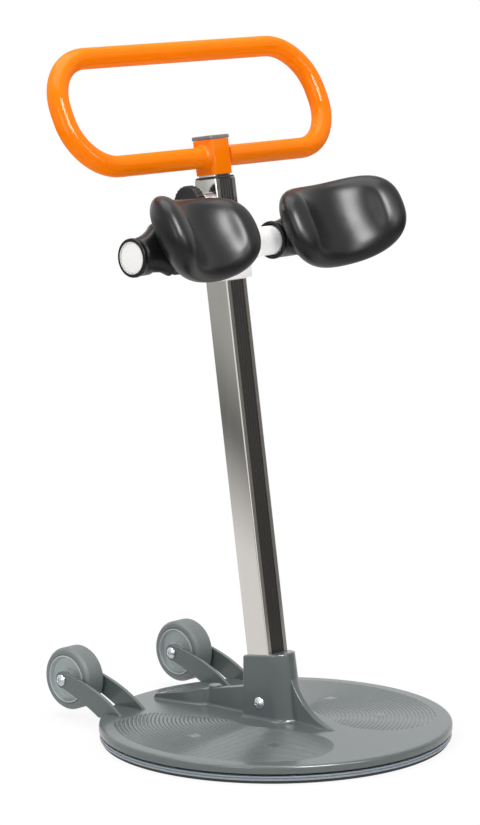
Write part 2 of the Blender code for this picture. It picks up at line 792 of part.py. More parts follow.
def make_foot_plate(column):
    """The moulded plate: grooved foot zones, socket, front fin and rear gusset in one piece."""
    bore = PIVOT_BOLT_RADIUS + 2 * GAP + BUSH_WALL
    rim_in = PLATE_RADIUS - PLATE_RIM_WIDTH
    skirt = PLATE_RADIUS - PLATE_SKIRT
    edge = arc(
        (PLATE_RADIUS - PLATE_EDGE_RADIUS, PLATE_RIM_TOP - PLATE_EDGE_RADIUS),
        PLATE_EDGE_RADIUS,
        math.pi / 2,
        0,
        PLATE_EDGE_STEPS,
    )
    track_in = GLIDE_INNER - TRACK_CLEARANCE
    track_out = GLIDE_OUTER + TRACK_CLEARANCE
    profile = [
        (0.0, plate_top(0.0)),
        (rim_in, PLATE_RIM_TOP),
        *edge,
        (PLATE_RADIUS, PLATE_LOW + PLATE_LOW_CHAMFER),
        (PLATE_RADIUS - PLATE_LOW_CHAMFER, PLATE_LOW),
        (skirt, PLATE_LOW),
        (skirt, plate_top(skirt, PLATE_WEB)),
        (track_out, plate_top(track_out, PLATE_WEB)),
        (track_out, PLATE_LOW),
        (track_in, PLATE_LOW),
        (track_in, plate_top(track_in, PLATE_WEB)),
        (HUB_RADIUS, plate_top(HUB_RADIUS, PLATE_WEB)),
        (HUB_RADIUS, PLATE_LOW),
        (0.0, PLATE_LOW),
    ]
    plate = turned("foot_plate", profile, DISC_STEPS, closed=False, colour=PAINT_PLATE)
    socket = guide("socket_body", loft(socket_sections()), parent=column)
    fin = guide("fin_body", outline_mesh(fin_outline(), FIN_THICKNESS), matrix=UPRIGHT)
    gusset = guide("gusset_body", loft(gusset_sections()))
    boss = guide(
        "gusset_boss",
        rod(
            GUSSET_BOSS_RADIUS,
            (0, GUSSET_BOSS_Y, PLATE_LOW + PLATE_WEB),
            (0, GUSSET_BOSS_Y, GUSSET_BOSS_TOP),
            SMALL_STEPS,
        ),
    )
    for body in (socket, fin, gusset, boss):
        boolean(plate, body, "UNION")
    side = TUBE_SIDE + 2 * GAP
    hollow = square_bar(side, side, TUBE_CORNER + GAP, TUBE_BOTTOM - GAP, SOCKET_TOP * 2)
    boolean(plate, guide("socket_bore", hollow, parent=column))
    pocket_radius = PIVOT_NUT_FLATS / math.sqrt(3) + NUT_CLEARANCE
    seat = (0, 0, PLATE_LOW + HUB_SEAT)
    pocket = rod(pocket_radius, seat, (0, 0, TUBE_BOTTOM + PLATE_WEB))
    boolean(plate, guide("nut_pocket", pocket))
    pivot_hole = rod(bore, (0, 0, 0), (0, 0, TUBE_BOTTOM))
    boolean(plate, guide("pivot_hole", pivot_hole))
    reach = 2 * TUBE_SIDE
    hole = rod(
        SOCKET_SCREW_RADIUS + GAP,
        (-reach, SOCKET_SCREW_Y, SOCKET_SCREW_HEIGHT),
        (reach, SOCKET_SCREW_Y, SOCKET_SCREW_HEIGHT),
        SMALL_STEPS,
    )
    boolean(plate, guide("socket_screw_hole", hole, parent=column))
    floor = turned("zone_floor", zone_floor(), DISC_STEPS, maker=guide)
    for side, word in ((1, "right"), (-1, "left")):
        zone = guide(f"zone_{word}", outline_mesh(zone_outline(side), 4 * PLATE_CENTRE_TOP))
        boolean(zone, floor, "INTERSECT")
        boolean(plate, zone)
    return plate


def fork_outline():
    """Side view of a fork arm, as (y, z): convex back, round eye at the axle."""
    foot_y = PLATE_RADIUS - FORK_FOOT_INSET
    rise = (PLATE_RADIUS - FORK_RISE_INSET, FORK_RISE_HEIGHT)
    under_turn = (PLATE_RADIUS - FORK_UNDER_INSET, FORK_UNDER_HEIGHT)
    eye = (WHEEL_Y, WHEEL_Z)
    round_end = arc(eye, FORK_EYE_RADIUS, FORK_EYE_START, FORK_EYE_END, FORK_EYE_STEPS)
    back = bend_line((foot_y, PLATE_RIM_TOP), rise, round_end[0], FORK_BACK_STEPS)
    corner = (PLATE_RADIUS - FORK_CORNER_INSET, PLATE_LOW)
    under = bend_line(round_end[-1], under_turn, corner, FORK_UNDER_STEPS)
    return back + round_end[1:] + under[1:] + [(foot_y, PLATE_LOW)]


def make_forks():
    """Four fork arms that stand on the plate's rim and reach back to the axles."""
    clearance = [
        (0.0, plate_top(0.0) + GAP),
        (PLATE_RADIUS - PLATE_RIM_WIDTH, PLATE_RIM_TOP + GAP),
        *arc(
            (PLATE_RADIUS - PLATE_EDGE_RADIUS, PLATE_RIM_TOP - PLATE_EDGE_RADIUS),
            PLATE_EDGE_RADIUS + GAP,
            math.pi / 2,
            0,
            PLATE_EDGE_STEPS,
        ),
        (PLATE_RADIUS + GAP, 0.0),
        (0.0, 0.0),
    ]
    room = turned("fork_room", clearance, DISC_STEPS, maker=guide, closed=False)
    offset = TYRE_WIDTH / 2 + WHEEL_SIDE_GAP + FORK_THICKNESS / 2
    hole_half = TYRE_WIDTH
    for side, word in ((-1, "left"), (1, "right")):
        x = side * WHEEL_X
        hole = rod(
            AXLE_RADIUS + GAP,
            (x - hole_half, WHEEL_Y, WHEEL_Z),
            (x + hole_half, WHEEL_Y, WHEEL_Z),
            SMALL_STEPS,
        )
        drill = guide(f"axle_hole_{word}", hole)
        for place, sign in (("outer", side), ("inner", -side)):
            arm = add(
                f"{word}_fork_{place}",
                outline_mesh(fork_outline(), FORK_THICKNESS),
                matrix=Matrix.Translation((x + sign * offset, 0, 0)) @ UPRIGHT,
                colour=PAINT_PLATE,
            )
            boolean(arm, room)
            boolean(arm, drill)


def make_wheel(word, side):
    """Tyre, hub and bush on one axle."""
    centre = Matrix.Translation((side * WHEEL_X, WHEEL_Y, WHEEL_Z))
    axle = empty(f"{word}_wheel_axis", matrix=centre)
    half = TYRE_WIDTH / 2
    shoulder = TYRE_CORNER * TYRE_SHOULDER
    turned(
        f"{word}_tyre",
        [
            (TYRE_RADIUS, -half + TYRE_CORNER),
            (TYRE_RADIUS - shoulder, -half + shoulder),
            (TYRE_RADIUS - TYRE_CORNER, -half),
            (TYRE_SEAT, -half),
            (TYRE_SEAT, half),
            (TYRE_RADIUS - TYRE_CORNER, half),
            (TYRE_RADIUS - shoulder, half - shoulder),
            (TYRE_RADIUS, half - TYRE_CORNER),
        ],
        ROUND_STEPS,
        parent=axle,
        matrix=ALONG_X,
        colour=PAINT_TYRE,
    )
    bore = AXLE_RADIUS + GAP
    seat = bore + WHEEL_BUSH_WALL
    rim = TYRE_SEAT - GAP
    web = HUB_WEB / 2
    well = rim - HUB_RIM_WALL
    boss = WHEEL_BOSS_RADIUS
    edge = half - GAP
    half_profile = [
        (seat + GAP, edge),
        (boss, edge),
        (boss + HUB_DRAFT, web),
        (well - HUB_DRAFT, web),
        (well, edge),
        (rim, edge),
    ]
    turned(
        f"{word}_hub",
        half_profile + [(r, -z) for r, z in half_profile[::-1]],
        ROUND_STEPS,
        parent=axle,
        matrix=ALONG_X,
        colour=PAINT_HUB,
    )
    reach = half + WHEEL_SIDE_GAP - GAP
    turned(
        f"{word}_bush",
        [(seat, reach), (seat, -reach), (bore, -reach), (bore, reach)],
        ROUND_STEPS,
        parent=axle,
        matrix=ALONG_X,
        colour=LINER,
    )


def make_bolt(name, nut_name, length, radius, parent, matrix):
    """A dome-headed bolt along +X from under its head at x = 0, and its nut."""
    across = matrix @ ALONG_X
    dome = [
        (DOME_RADIUS * math.cos(a), -DOME_HEIGHT * math.sin(a))
        for a in (0, math.radians(30), math.radians(60))
    ]
    turned(
        name,
        [
            (0.0, -DOME_HEIGHT),
            *dome[::-1],
            (radius, 0.0),
            (radius, length),
            (0.0, length),
        ],
        SMALL_STEPS,
        closed=False,
        parent=parent,
        matrix=across,
        colour=STEEL,
    )
    low = length - NUT_HEIGHT
    nut = add(
        nut_name,
        rod(NUT_FLATS / math.sqrt(3), (0, 0, low), (0, 0, length - GAP), sides=6),
        parent=parent,
        matrix=across,
        colour=STEEL,
    )
    hole = rod(radius + GAP, (0, 0, low - length), (0, 0, 2 * length), SMALL_STEPS)
    boolean(nut, guide(f"{nut_name}_hole", hole, parent=parent, matrix=across))


def make_wheels():
    """Both wheels with their axle bolts."""
    span = TYRE_WIDTH + 2 * WHEEL_SIDE_GAP + 2 * FORK_THICKNESS
    for side, word in ((-1, "left"), (1, "right")):
        make_wheel(word, side)
        start = Matrix.Translation((side * WHEEL_X - span / 2 - GAP, WHEEL_Y, WHEEL_Z))
        length = span + 2 * GAP + NUT_HEIGHT
        make_bolt(
            f"{word}_axle_bolt", f"{word}_axle_nut", length, AXLE_RADIUS, None, start
        )


def ribbed_rail(name, width, thickness, ribs, low, high, face, turn, parent):
    """A flat strip along Z with shallow grooves on its outer face, which is at y = -face."""
    pitch = width / ribs
    points = []
    for i in range(ribs):
        x = -width / 2 + i * pitch
        notch = pitch * RAIL_NOTCH
        points += [(x + notch, -face), (x + pitch - notch, -face)]
        if i < ribs - 1:
            points.append((x + pitch, -face + RAIL_RIB_DEPTH))
    inner = -face + thickness
    points += [(width / 2, -face + RAIL_RIB_DEPTH), (width / 2, inner)]
    points += [(-width / 2, inner), (-width / 2, -face + RAIL_RIB_DEPTH)]
    data = outline_mesh(points, high - low)
    place = Matrix.Rotation(turn, 4, "Z") @ Matrix.Translation((0, 0, (low + high) / 2))
    return add(name, data, parent=parent, matrix=place, colour=BLACK_RAIL)


def hollow_bar(name, side, wall, corner, low, high, parent, colour):
    """A square tube along Z, open at both ends."""
    tube = add(
        name, square_bar(side, side, corner, low, high), parent=parent, colour=colour
    )
    inner = side - 2 * wall
    bore = square_bar(inner, inner, max(corner - wall, PEG_CORNER), low - wall, high + wall)
    return boolean(tube, guide(f"{name}_bore", bore, parent=parent))


def cut_rail_channels(tube, name, width, depth, side, low, high, parent):
    """Channels for the strips on the front and rear faces."""
    for sign, word in ((-1, "front"), (1, "rear")):
        face = sign * side / 2
        floor = face - sign * depth
        out = face + sign * depth
        ends = sorted((floor, out))
        shape = box((-width / 2, ends[0], low), (width / 2, ends[1], high))
        boolean(tube, guide(f"{name}_{word}", shape, parent=parent))


def make_column(column):
    """The upright tube with its inlaid strips, top bush, socket screw and lock boss."""
    tube = hollow_bar(
        "column_tube",
        TUBE_SIDE,
        TUBE_WALL,
        TUBE_CORNER,
        TUBE_BOTTOM,
        TUBE_TOP,
        column,
        BRIGHT,
    )
    rail_low = SOCKET_TOP + GAP
    channel = RAIL_THICKNESS + GAP
    cut_rail_channels(
        tube,
        "column_channel",
        RAIL_WIDTH + 2 * GAP,
        channel,
        TUBE_SIDE,
        rail_low,
        TUBE_TOP + channel,
        column,
    )
    for turn, word in ((0.0, "front"), (math.pi, "rear")):
        ribbed_rail(
            f"column_rail_{word}",
            RAIL_WIDTH,
            RAIL_THICKNESS,
            RAIL_RIBS,
            rail_low + GAP,
            TUBE_TOP,
            TUBE_SIDE / 2,
            turn,
            column,
        )
    reach = TUBE_SIDE
    hole = rod(
        SOCKET_SCREW_RADIUS + GAP,
        (-reach, SOCKET_SCREW_Y, SOCKET_SCREW_HEIGHT),
        (reach, SOCKET_SCREW_Y, SOCKET_SCREW_HEIGHT),
        SMALL_STEPS,
    )
    boolean(tube, guide("column_screw_hole", hole, parent=column))
    lock_hole = rod(
        STUD_RADIUS + GAP, (-reach, 0, LOCK_HEIGHT), (0, 0, LOCK_HEIGHT), SMALL_STEPS
    )
    lock_drill = guide("lock_hole", lock_hole, parent=column)
    boolean(tube, lock_drill)

    low = TUBE_TOP + GAP
    spigot_side = TUBE_SIDE - 2 * TUBE_WALL - 2 * GAP
    levels = (
        (low, TUBE_SIDE / 2),
        (low + TOP_BUSH_FLANGE / 3, TUBE_SIDE / 2),
        (low + TOP_BUSH_FLANGE, TUBE_SIDE / 2 - TOP_BUSH_SLOPE),
    )
    flange = [
        [(x, y, z) for x, y in rounded_square(half, half, TUBE_CORNER)] for z, half in levels
    ]
    bush = add("column_top_bush", loft(flange), parent=column, colour=BLACK_RAIL)
    spigot = square_bar(
        spigot_side,
        spigot_side,
        PEG_CORNER,
        low - TOP_BUSH_DEPTH,
        low + TOP_BUSH_FLANGE / 2,
    )
    boolean(bush, guide("top_bush_spigot", spigot, parent=column), "UNION")
    opening = INNER_SIDE + 2 * GAP
    bore = square_bar(
        opening, opening, INNER_CORNER, low - 2 * TOP_BUSH_DEPTH, low + TOP_BUSH_DEPTH
    )
    boolean(bush, guide("top_bush_bore", bore, parent=column))
    boolean(bush, lock_drill)

    half = TUBE_SIDE / 2 + GAP
    inner = STUD_RADIUS + GAP
    turned(
        "lock_boss",
        [
            (LOCK_BOSS_RADIUS, half),
            (LOCK_BOSS_RADIUS, half + LOCK_BOSS_LENGTH - LOCK_BOSS_CHAMFER),
            (LOCK_BOSS_RADIUS - LOCK_BOSS_CHAMFER, half + LOCK_BOSS_LENGTH),
            (inner, half + LOCK_BOSS_LENGTH),
            (inner, half),
        ],
        SMALL_STEPS,
        parent=column,
        matrix=Matrix.Translation((0, 0, LOCK_HEIGHT)) @ ALONG_X.inverted(),
        colour=STEEL,
    )
    nut_low = SOCKET_SCREW_HEIGHT - NUT_FLATS / math.sqrt(3)
    width = TUBE_SIDE + 2 * GAP + 2 * SOCKET_WALL + 2 * socket_grow(nut_low)
    start = Matrix.Translation((-width / 2 - GAP, SOCKET_SCREW_Y, SOCKET_SCREW_HEIGHT))
    make_bolt(
        "socket_screw",
        "socket_nut",
        width + 2 * GAP + NUT_HEIGHT,
        SOCKET_SCREW_RADIUS,
        column,
        start,
    )


def loop_path():
    """Centre line of the loop in its own plane: x across, y up, from sleeve to sleeve."""
    half = LOOP_WIDTH / 2
    top = LOOP_HEIGHT
    bend = LOOP_BEND
    start = INNER_SIDE / 2 + GAP + SLEEVE_WALL + GAP
    corners = (
        ((half - bend, bend), -math.pi / 2),
        ((half - bend, top - bend), 0.0),
        ((bend - half, top - bend), math.pi / 2),
        ((bend - half, bend), math.pi),
    )
    points = [(start, 0.0)]
    for centre, angle in corners:
        points += arc(centre, bend, angle, angle + math.pi / 2, LOOP_ARC_STEPS)
    points.append((-start, 0.0))
    return points


def make_loop(handle):
    """The bent handle tube, open where it meets the sleeve."""
    curve = bpy.data.curves.new("loop", "CURVE")
    curve.dimensions = "3D"
    curve.bevel_depth = LOOP_TUBE / 2
    curve.bevel_resolution = (LOOP_SIDES - 4) // 2
    curve.use_fill_caps = False
    line = curve.splines.new("POLY")
    path = loop_path()
    line.points.add(len(path) - 1)
    for point, (x, y) in zip(line.points, path):
        point.co = (x, 0.0, y, 1.0)
    data = solid_from_curve(bpy.data.objects.new("loop", curve))
    lean = Matrix.Rotation(-LOOP_TILT, 4, "X")
    place = Matrix.Translation((0, 0, LOOP_CENTRE_HEIGHT)) @ lean
    loop = add("handle_loop", data, parent=handle, matrix=place, colour=PAINT_ORANGE)
    wall = loop.modifiers.new("wall", "SOLIDIFY")
    wall.thickness = LOOP_WALL
    wall.offset = -1.0
    wall.use_rim = True
    return loop


def make_handle(handle):
    """The sliding upper assembly: sleeve, loop, inner tube, strips, cap and bottom glide."""
    make_loop(handle)
    hollow_side = INNER_SIDE + 2 * GAP + 2 * SLEEVE_WALL
    hollow_bar(
        "handle_sleeve",
        hollow_side,
        SLEEVE_WALL,
        INNER_CORNER + GAP + SLEEVE_WALL,
        SLEEVE_BOTTOM,
        SLEEVE_TOP,
        handle,
        PAINT_ORANGE,
    )
    low = SLEEVE_TOP - INNER_LENGTH
    inner = hollow_bar(
        "inner_tube",
        INNER_SIDE,
        INNER_WALL,
        INNER_CORNER,
        low,
        SLEEVE_TOP,
        handle,
        BRIGHT,
    )
    channel = RAIL_THICKNESS + GAP
    block_top = low + GLIDE_BLOCK_LENGTH
    cut_rail_channels(
        inner,
        "inner_channel",
        INNER_RAIL_WIDTH + 2 * GAP,
        channel,
        INNER_SIDE,
        block_top,
        SLEEVE_BOTTOM,
        handle,
    )
    for turn, word in ((0.0, "front"), (math.pi, "rear")):
        ribbed_rail(
            f"inner_rail_{word}",
            INNER_RAIL_WIDTH,
            RAIL_THICKNESS,
            RAIL_RIBS - 1,
            block_top + GAP,
            SLEEVE_BOTTOM - GAP,
            INNER_SIDE / 2,
            turn,
            handle,
        )
    bore = TUBE_SIDE - 2 * TUBE_WALL
    block = add(
        "inner_glide",
        square_bar(
            bore - 2 * GAP,
            bore - 2 * GAP,
            GLIDE_BLOCK_CORNER,
            low - GLIDE_BLOCK_LIP,
            block_top - GAP,
        ),
        parent=handle,
        colour=BLACK_RAIL,
    )
    fit = INNER_SIDE + 2 * GAP
    seat = square_bar(fit, fit, INNER_CORNER, low - GAP, block_top + fit)
    boolean(block, guide("inner_glide_seat", seat, parent=handle))
    plain = INNER_SIDE - 2 * INNER_WALL
    vent = square_bar(plain, plain, PEG_CORNER, low - fit, block_top)
    boolean(block, guide("inner_glide_vent", vent, parent=handle))

    base = SLEEVE_TOP + GAP
    half = hollow_side / 2
    rise = CAP_THICKNESS
    levels = [(rise * level, half - CAP_EDGE * inset) for level, inset in CAP_LEVELS]
    levels.append((rise + CAP_CROWN, half * CAP_TOP_SHARE))
    sections = [
        [(x, y, base + z) for x, y in rounded_square(side, side, CAP_CORNER)]
        for z, side in levels
    ]
    cap = add("handle_cap", loft(sections), parent=handle, colour=PLASTIC_CAP)
    peg = plain - 2 * GAP
    spigot = square_bar(peg, peg, PEG_CORNER, base - CAP_SPIGOT, base + rise / 2)
    boolean(cap, guide("cap_spigot", spigot, parent=handle), "UNION")


def knob_outline():
    """The rim of a clamp knob, finely ribbed."""
    points = []
    for i in range(2 * KNOB_RIBS):
        angle = math.pi * i / KNOB_RIBS
        radius = KNOB_RADIUS - KNOB_RIB_DEPTH * (i % 2)
        points.append((radius * math.cos(angle), radius * math.sin(angle)))
    return points


def make_knob(word, face_x, tip_x, axis):
    """A clamp knob and its stud. The axis empty lies on the knob's axis, at x = 0."""
    thick = KNOB_THICKNESS
    middle = face_x + thick / 2
    rim = outline_mesh(knob_outline(), thick)
    knob = add(
        f"{word}_knob",
        rim,
        parent=axis,
        matrix=Matrix.Translation((middle, 0, 0)) @ ALONG_X,
        colour=PLASTIC_KNOB,
    )
    face = face_x
    back = face_x + thick
    chamfer = KNOB_FACE_CHAMFER
    big = KNOB_RADIUS + 2 * chamfer
    over = GAP / 3
    cone = [
        (KNOB_RADIUS - chamfer, face - over),
        (big, face - over),
        (big, face + chamfer),
        (KNOB_RADIUS + over, face + chamfer),
    ]
    trim = turned(
        f"{word}_knob_trim", cone, ROUND_STEPS * 2, maker=guide, parent=axis, matrix=ALONG_X
    )
    boolean(knob, trim)
    hub = rod(KNOB_HUB_RADIUS, (middle, 0, 0), (back + KNOB_HUB_LENGTH, 0, 0))
    boolean(knob, guide(f"{word}_knob_hub", hub, parent=axis), "UNION")
    root = face_x + KNOB_SKIN
    drill = rod(STUD_RADIUS + GAP, (root - GAP, 0, 0), (0, 0, 0), SMALL_STEPS)
    boolean(knob, guide(f"{word}_knob_bore", drill, parent=axis))
    add(
        f"{word}_stud",
        rod(STUD_RADIUS, (root, 0, 0), (tip_x, 0, 0), SMALL_STEPS),
        parent=axis,
        colour=STEEL,
    )


def make_height_knob(column):
    """The knob that locks the handle's height: its stud presses on the inner tube."""
    place = Matrix.Translation((0, 0, LOCK_HEIGHT))
    axis = empty("height_knob_axis", column, place)
    make_knob("height", KNOB_FACE_X, -(INNER_SIDE / 2 + GAP), axis)


def make_support(support):
    """The sliding shin support: collar with saddle, liner, cross tube and end plugs."""
    fit = TUBE_SIDE + 2 * GAP
    liner_side = fit + 2 * LINER_WALL
    hollow = liner_side + 2 * GAP
    side = hollow + 2 * SUPPORT_WALL
    carrier = add(
        "support_carrier",
        square_bar(side, side, SUPPORT_CORNER, SUPPORT_BOTTOM, SUPPORT_TOP),
        parent=support,
        colour=PAINT_WHITE,
    )
    rounded(carrier, SUPPORT_EDGE, 1)
    saddle_radius = CROSS_RADIUS + GAP + SADDLE_WALL
    saddle = rod(
        saddle_radius, (-side / 2, CROSS_Y, CROSS_HEIGHT), (side / 2, CROSS_Y, CROSS_HEIGHT)
    )
    boolean(carrier, guide("saddle", saddle, parent=support), "UNION")
    clamp = rod(
        CLAMP_BOSS_RADIUS,
        (-CLAMP_BOSS_REACH, CLAMP_Y, CLAMP_HEIGHT),
        (-side / 2 + SUPPORT_WALL / 2, CLAMP_Y, CLAMP_HEIGHT),
    )
    boolean(carrier, guide("clamp_boss", clamp, parent=support), "UNION")
    bore = square_bar(
        hollow, hollow, TUBE_CORNER + LINER_WALL, SUPPORT_BOTTOM - side, SUPPORT_TOP + side
    )
    boolean(carrier, guide("carrier_bore", bore, parent=support))
    reach = side
    cross_bore = rod(
        CROSS_RADIUS + GAP, (-reach, CROSS_Y, CROSS_HEIGHT), (reach, CROSS_Y, CROSS_HEIGHT)
    )
    boolean(carrier, guide("cross_bore", cross_bore, parent=support))
    clamp_hole = rod(
        STUD_RADIUS + GAP,
        (-2 * CLAMP_BOSS_REACH, CLAMP_Y, CLAMP_HEIGHT),
        (0, CLAMP_Y, CLAMP_HEIGHT),
        SMALL_STEPS,
    )
    clamp_drill = guide("clamp_hole", clamp_hole, parent=support)
    boolean(carrier, clamp_drill)

    liner = add(
        "carrier_liner",
        square_bar(
            liner_side,
            liner_side,
            TUBE_CORNER + LINER_WALL,
            SUPPORT_BOTTOM + LINER_INSET,
            SUPPORT_TOP - LINER_INSET,
        ),
        parent=support,
        colour=LINER,
    )
    inside = square_bar(
        fit, fit, TUBE_CORNER + GAP, SUPPORT_BOTTOM - side, SUPPORT_TOP + side
    )
    boolean(liner, guide("liner_bore", inside, parent=support))
    boolean(liner, clamp_drill)

    place = Matrix.Translation((0, CROSS_Y, CROSS_HEIGHT)) @ ALONG_X
    tube_end = CROSS_HALF_LENGTH - PLUG_FLANGE - GAP
    inner = CROSS_RADIUS - CROSS_WALL
    turned(
        "cross_tube",
        [
            (CROSS_RADIUS, tube_end),
            (CROSS_RADIUS, -tube_end),
            (inner, -tube_end),
            (inner, tube_end),
        ],
        ROUND_STEPS,
        parent=support,
        matrix=place,
        colour=PAINT_WHITE,
    )
    peg = inner - GAP
    for side_sign, word in ((-1, "left"), (1, "right")):
        end = CROSS_HALF_LENGTH
        flange = end - PLUG_FLANGE
        turn = Matrix.Rotation(math.pi if side_sign < 0 else 0.0, 4, "Y")
        turned(
            f"{word}_end_plug",
            [
                (0.0, end),
                (CROSS_RADIUS - PLUG_CHAMFER, end),
                (CROSS_RADIUS, end - PLUG_CHAMFER),
                (CROSS_RADIUS, flange),
                (peg, flange),
                (peg, flange - PLUG_SPIGOT),
                (0.0, flange - PLUG_SPIGOT),
            ],
            ROUND_STEPS,
            closed=False,
            parent=support,
            matrix=Matrix.Translation((0, CROSS_Y, CROSS_HEIGHT)) @ turn @ ALONG_X,
            colour=PLASTIC_WHITE,
        )


def make_support_knob(support):
    """The knob that clamps the shin support: its stud presses on the column."""
    place = Matrix.Translation((0, CLAMP_Y, CLAMP_HEIGHT))
    axis = empty("support_knob_axis", support, place)
    make_knob("support", CLAMP_KNOB_FACE_X, -(TUBE_SIDE / 2 + GAP), axis)


def signed_power(value, power):
    """A power that keeps the sign."""
    return math.copysign(abs(value) ** power, value)


def pad_point(point, side):
    """Moves a point of the unit sphere (x across, y up, z forward) onto the pad.

    The pad is a cushion with a squarish outline. It is thin at the waist, dished in
    front, and bent round an upright cylinder so that both lobes come forward.
    """
    x, y, z = point
    flat = math.hypot(x, y)
    spread = flat**PAD_FULLNESS if flat > 0 else 0.0
    cos_t, sin_t = (x / flat, y / flat) if flat > 0 else (0.0, 0.0)
    u = spread * signed_power(cos_t, PAD_SQUARENESS)
    v = spread * signed_power(sin_t, PAD_SQUARENESS)
    height = PAD_HALF_HEIGHT * (1 - PAD_WAIST * (1 - u * u)) * v
    depth = (PAD_HALF_THICKNESS + PAD_LOBE_EXTRA * u * u) * z
    if z > 0:
        inside = max(0.0, 1 - (u * u + v * v) / PAD_DISH_SPREAD)
        depth -= PAD_DISH * inside**PAD_DISH_POWER
    angle = PAD_HALF_SPAN * u / PAD_BEND_RADIUS
    across = (PAD_BEND_RADIUS - depth) * math.sin(angle)
    forward = PAD_BEND_RADIUS * (1 - math.cos(angle)) + depth * math.cos(angle)
    toe = PAD_TOE_IN * side
    px = across * math.cos(toe) - forward * math.sin(toe)
    pf = across * math.sin(toe) + forward * math.cos(toe)
    return Vector((px + side * PAD_CENTRE_X, -(pf + PAD_OFFSET), height))


def collar_profile(bore, length, ring):
    """Half of a pad collar from its free end: a thicker ring, then the plain collar."""
    plain = bore + PAD_COLLAR_WALL
    edge = PAD_COLLAR_WALL / 2
    return [
        (bore * PAD_COLLAR_CORE, 0.0),
        (ring - edge, 0.0),
        (ring, edge),
        (ring, PAD_RING_LENGTH),
        (plain, PAD_RING_LENGTH + PAD_RING_SLOPE * (ring - plain)),
        (plain, length),
        (bore * PAD_COLLAR_CORE, length),
    ]


def make_pad(word, side, support):
    """One cup pad on its two collars, turning about the cross tube on two liners."""
    place = Matrix.Translation((0, CROSS_Y, CROSS_HEIGHT))
    # The tilt is set against the vertical, and the support leans with the column.
    tilt = Matrix.Rotation(-(PAD_TILTS[word] - COLUMN_LEAN), 4, "X")
    axis = empty(f"{word}_pad_axis", support, place @ tilt)
    bm = bmesh.new()
    bmesh.ops.create_uvsphere(
        bm, u_segments=PAD_SEGMENTS, v_segments=PAD_RINGS, radius=1.0
    )
    for vert in bm.verts:
        vert.co = pad_point(vert.co, side)
    if side < 0:
        bmesh.ops.reverse_faces(bm, faces=bm.faces)
    pad = add(f"{word}_pad", mesh_from(bm), parent=axis, colour=FOAM)

    liner_outer = CROSS_RADIUS + GAP + PAD_LINER_WALL
    bore = liner_outer + GAP
    neck = guide(f"{word}_pad_neck", pad_neck(side), parent=axis)
    boolean(pad, neck, "UNION")
    for place, end, inward, length in (
        ("inner", side * PAD_INNER_END, side, PAD_COLLAR_INNER),
        ("outer", side * PAD_OUTER_END, -side, PAD_COLLAR_OUTER),
    ):
        turn = Matrix.Translation((end, 0, 0)) @ Matrix.Rotation(inward * math.pi / 2, 4, "Y")
        ring = bore + PAD_RING_WALL
        collar = turned(
            f"{word}_pad_collar_{place}",
            collar_profile(bore, length, ring),
            ROUND_STEPS,
            maker=guide,
            parent=axis,
            matrix=turn,
        )
        boolean(pad, collar, "UNION")
        turned(
            f"{word}_pad_liner_{place}",
            [
                (liner_outer, length),
                (liner_outer, 0.0),
                (CROSS_RADIUS + GAP, 0.0),
                (CROSS_RADIUS + GAP, length),
            ],
            ROUND_STEPS,
            parent=axis,
            matrix=turn,
            colour=LINER,
        )
    reach = side * PAD_INNER_END
    hollow = rod(bore, (0, 0, 0), (side * PAD_OUTER_END + reach, 0, 0))
    boolean(pad, guide(f"{word}_pad_bore", hollow, parent=axis))


def pad_neck(side):
    """The web between collars and pad: it spreads from each collar along the pad's back."""
    half = PAD_NECK_HALF_HEIGHT
    front = -(PAD_OFFSET + PAD_NECK_REACH)
    sections = []
    for end, grow in ((PAD_INNER_END, 1), (PAD_OUTER_END, -1)):
        rows = [
            (end + grow * (PAD_NECK_START + PAD_NECK_SPREAD * step), front * share)
            for step, share in PAD_NECK_SHAPE
        ]
        sections += rows if grow > 0 else rows[::-1]
    return loft(
        [
            [
                (side * x, PAD_NECK_BACK, -half * PAD_NECK_TAPER),
                (side * x, reach * PAD_NECK_MIDDLE, -half),
                (side * x, reach, -half),
                (side * x, reach, half),
                (side * x, reach * PAD_NECK_MIDDLE, half),
                (side * x, PAD_NECK_BACK, half * PAD_NECK_TAPER),
            ]
            for x, reach in sections
        ]
    )


def main():
    foot = Matrix.Translation((0, COLUMN_FOOT_Y, 0))
    column = empty("column_frame", matrix=foot @ Matrix.Rotation(-COLUMN_LEAN, 4, "X"))
    handle = empty("handle_slide", column)
    support = empty("support_slide", column)
    make_floor_stack()
    make_pivot()
    make_foot_plate(column)
    make_forks()
    make_wheels()
    make_column(column)
    make_handle(handle)
    make_height_knob(column)
    make_support(support)
    make_support_knob(support)
    for word, side in (("left", -1), ("right", 1)):
        make_pad(word, side, support)


main()
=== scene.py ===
# %% [markdown]
# # A standing transfer aid
# Every later piece is placed from that frame or from the sizes named below, in metres, with
# +Z up and the turning axis of the plate at x = y = 0.

# %% Load the frame
import json
import math

import bmesh
import bpy
import numpy as np
from mathutils import Matrix, Vector


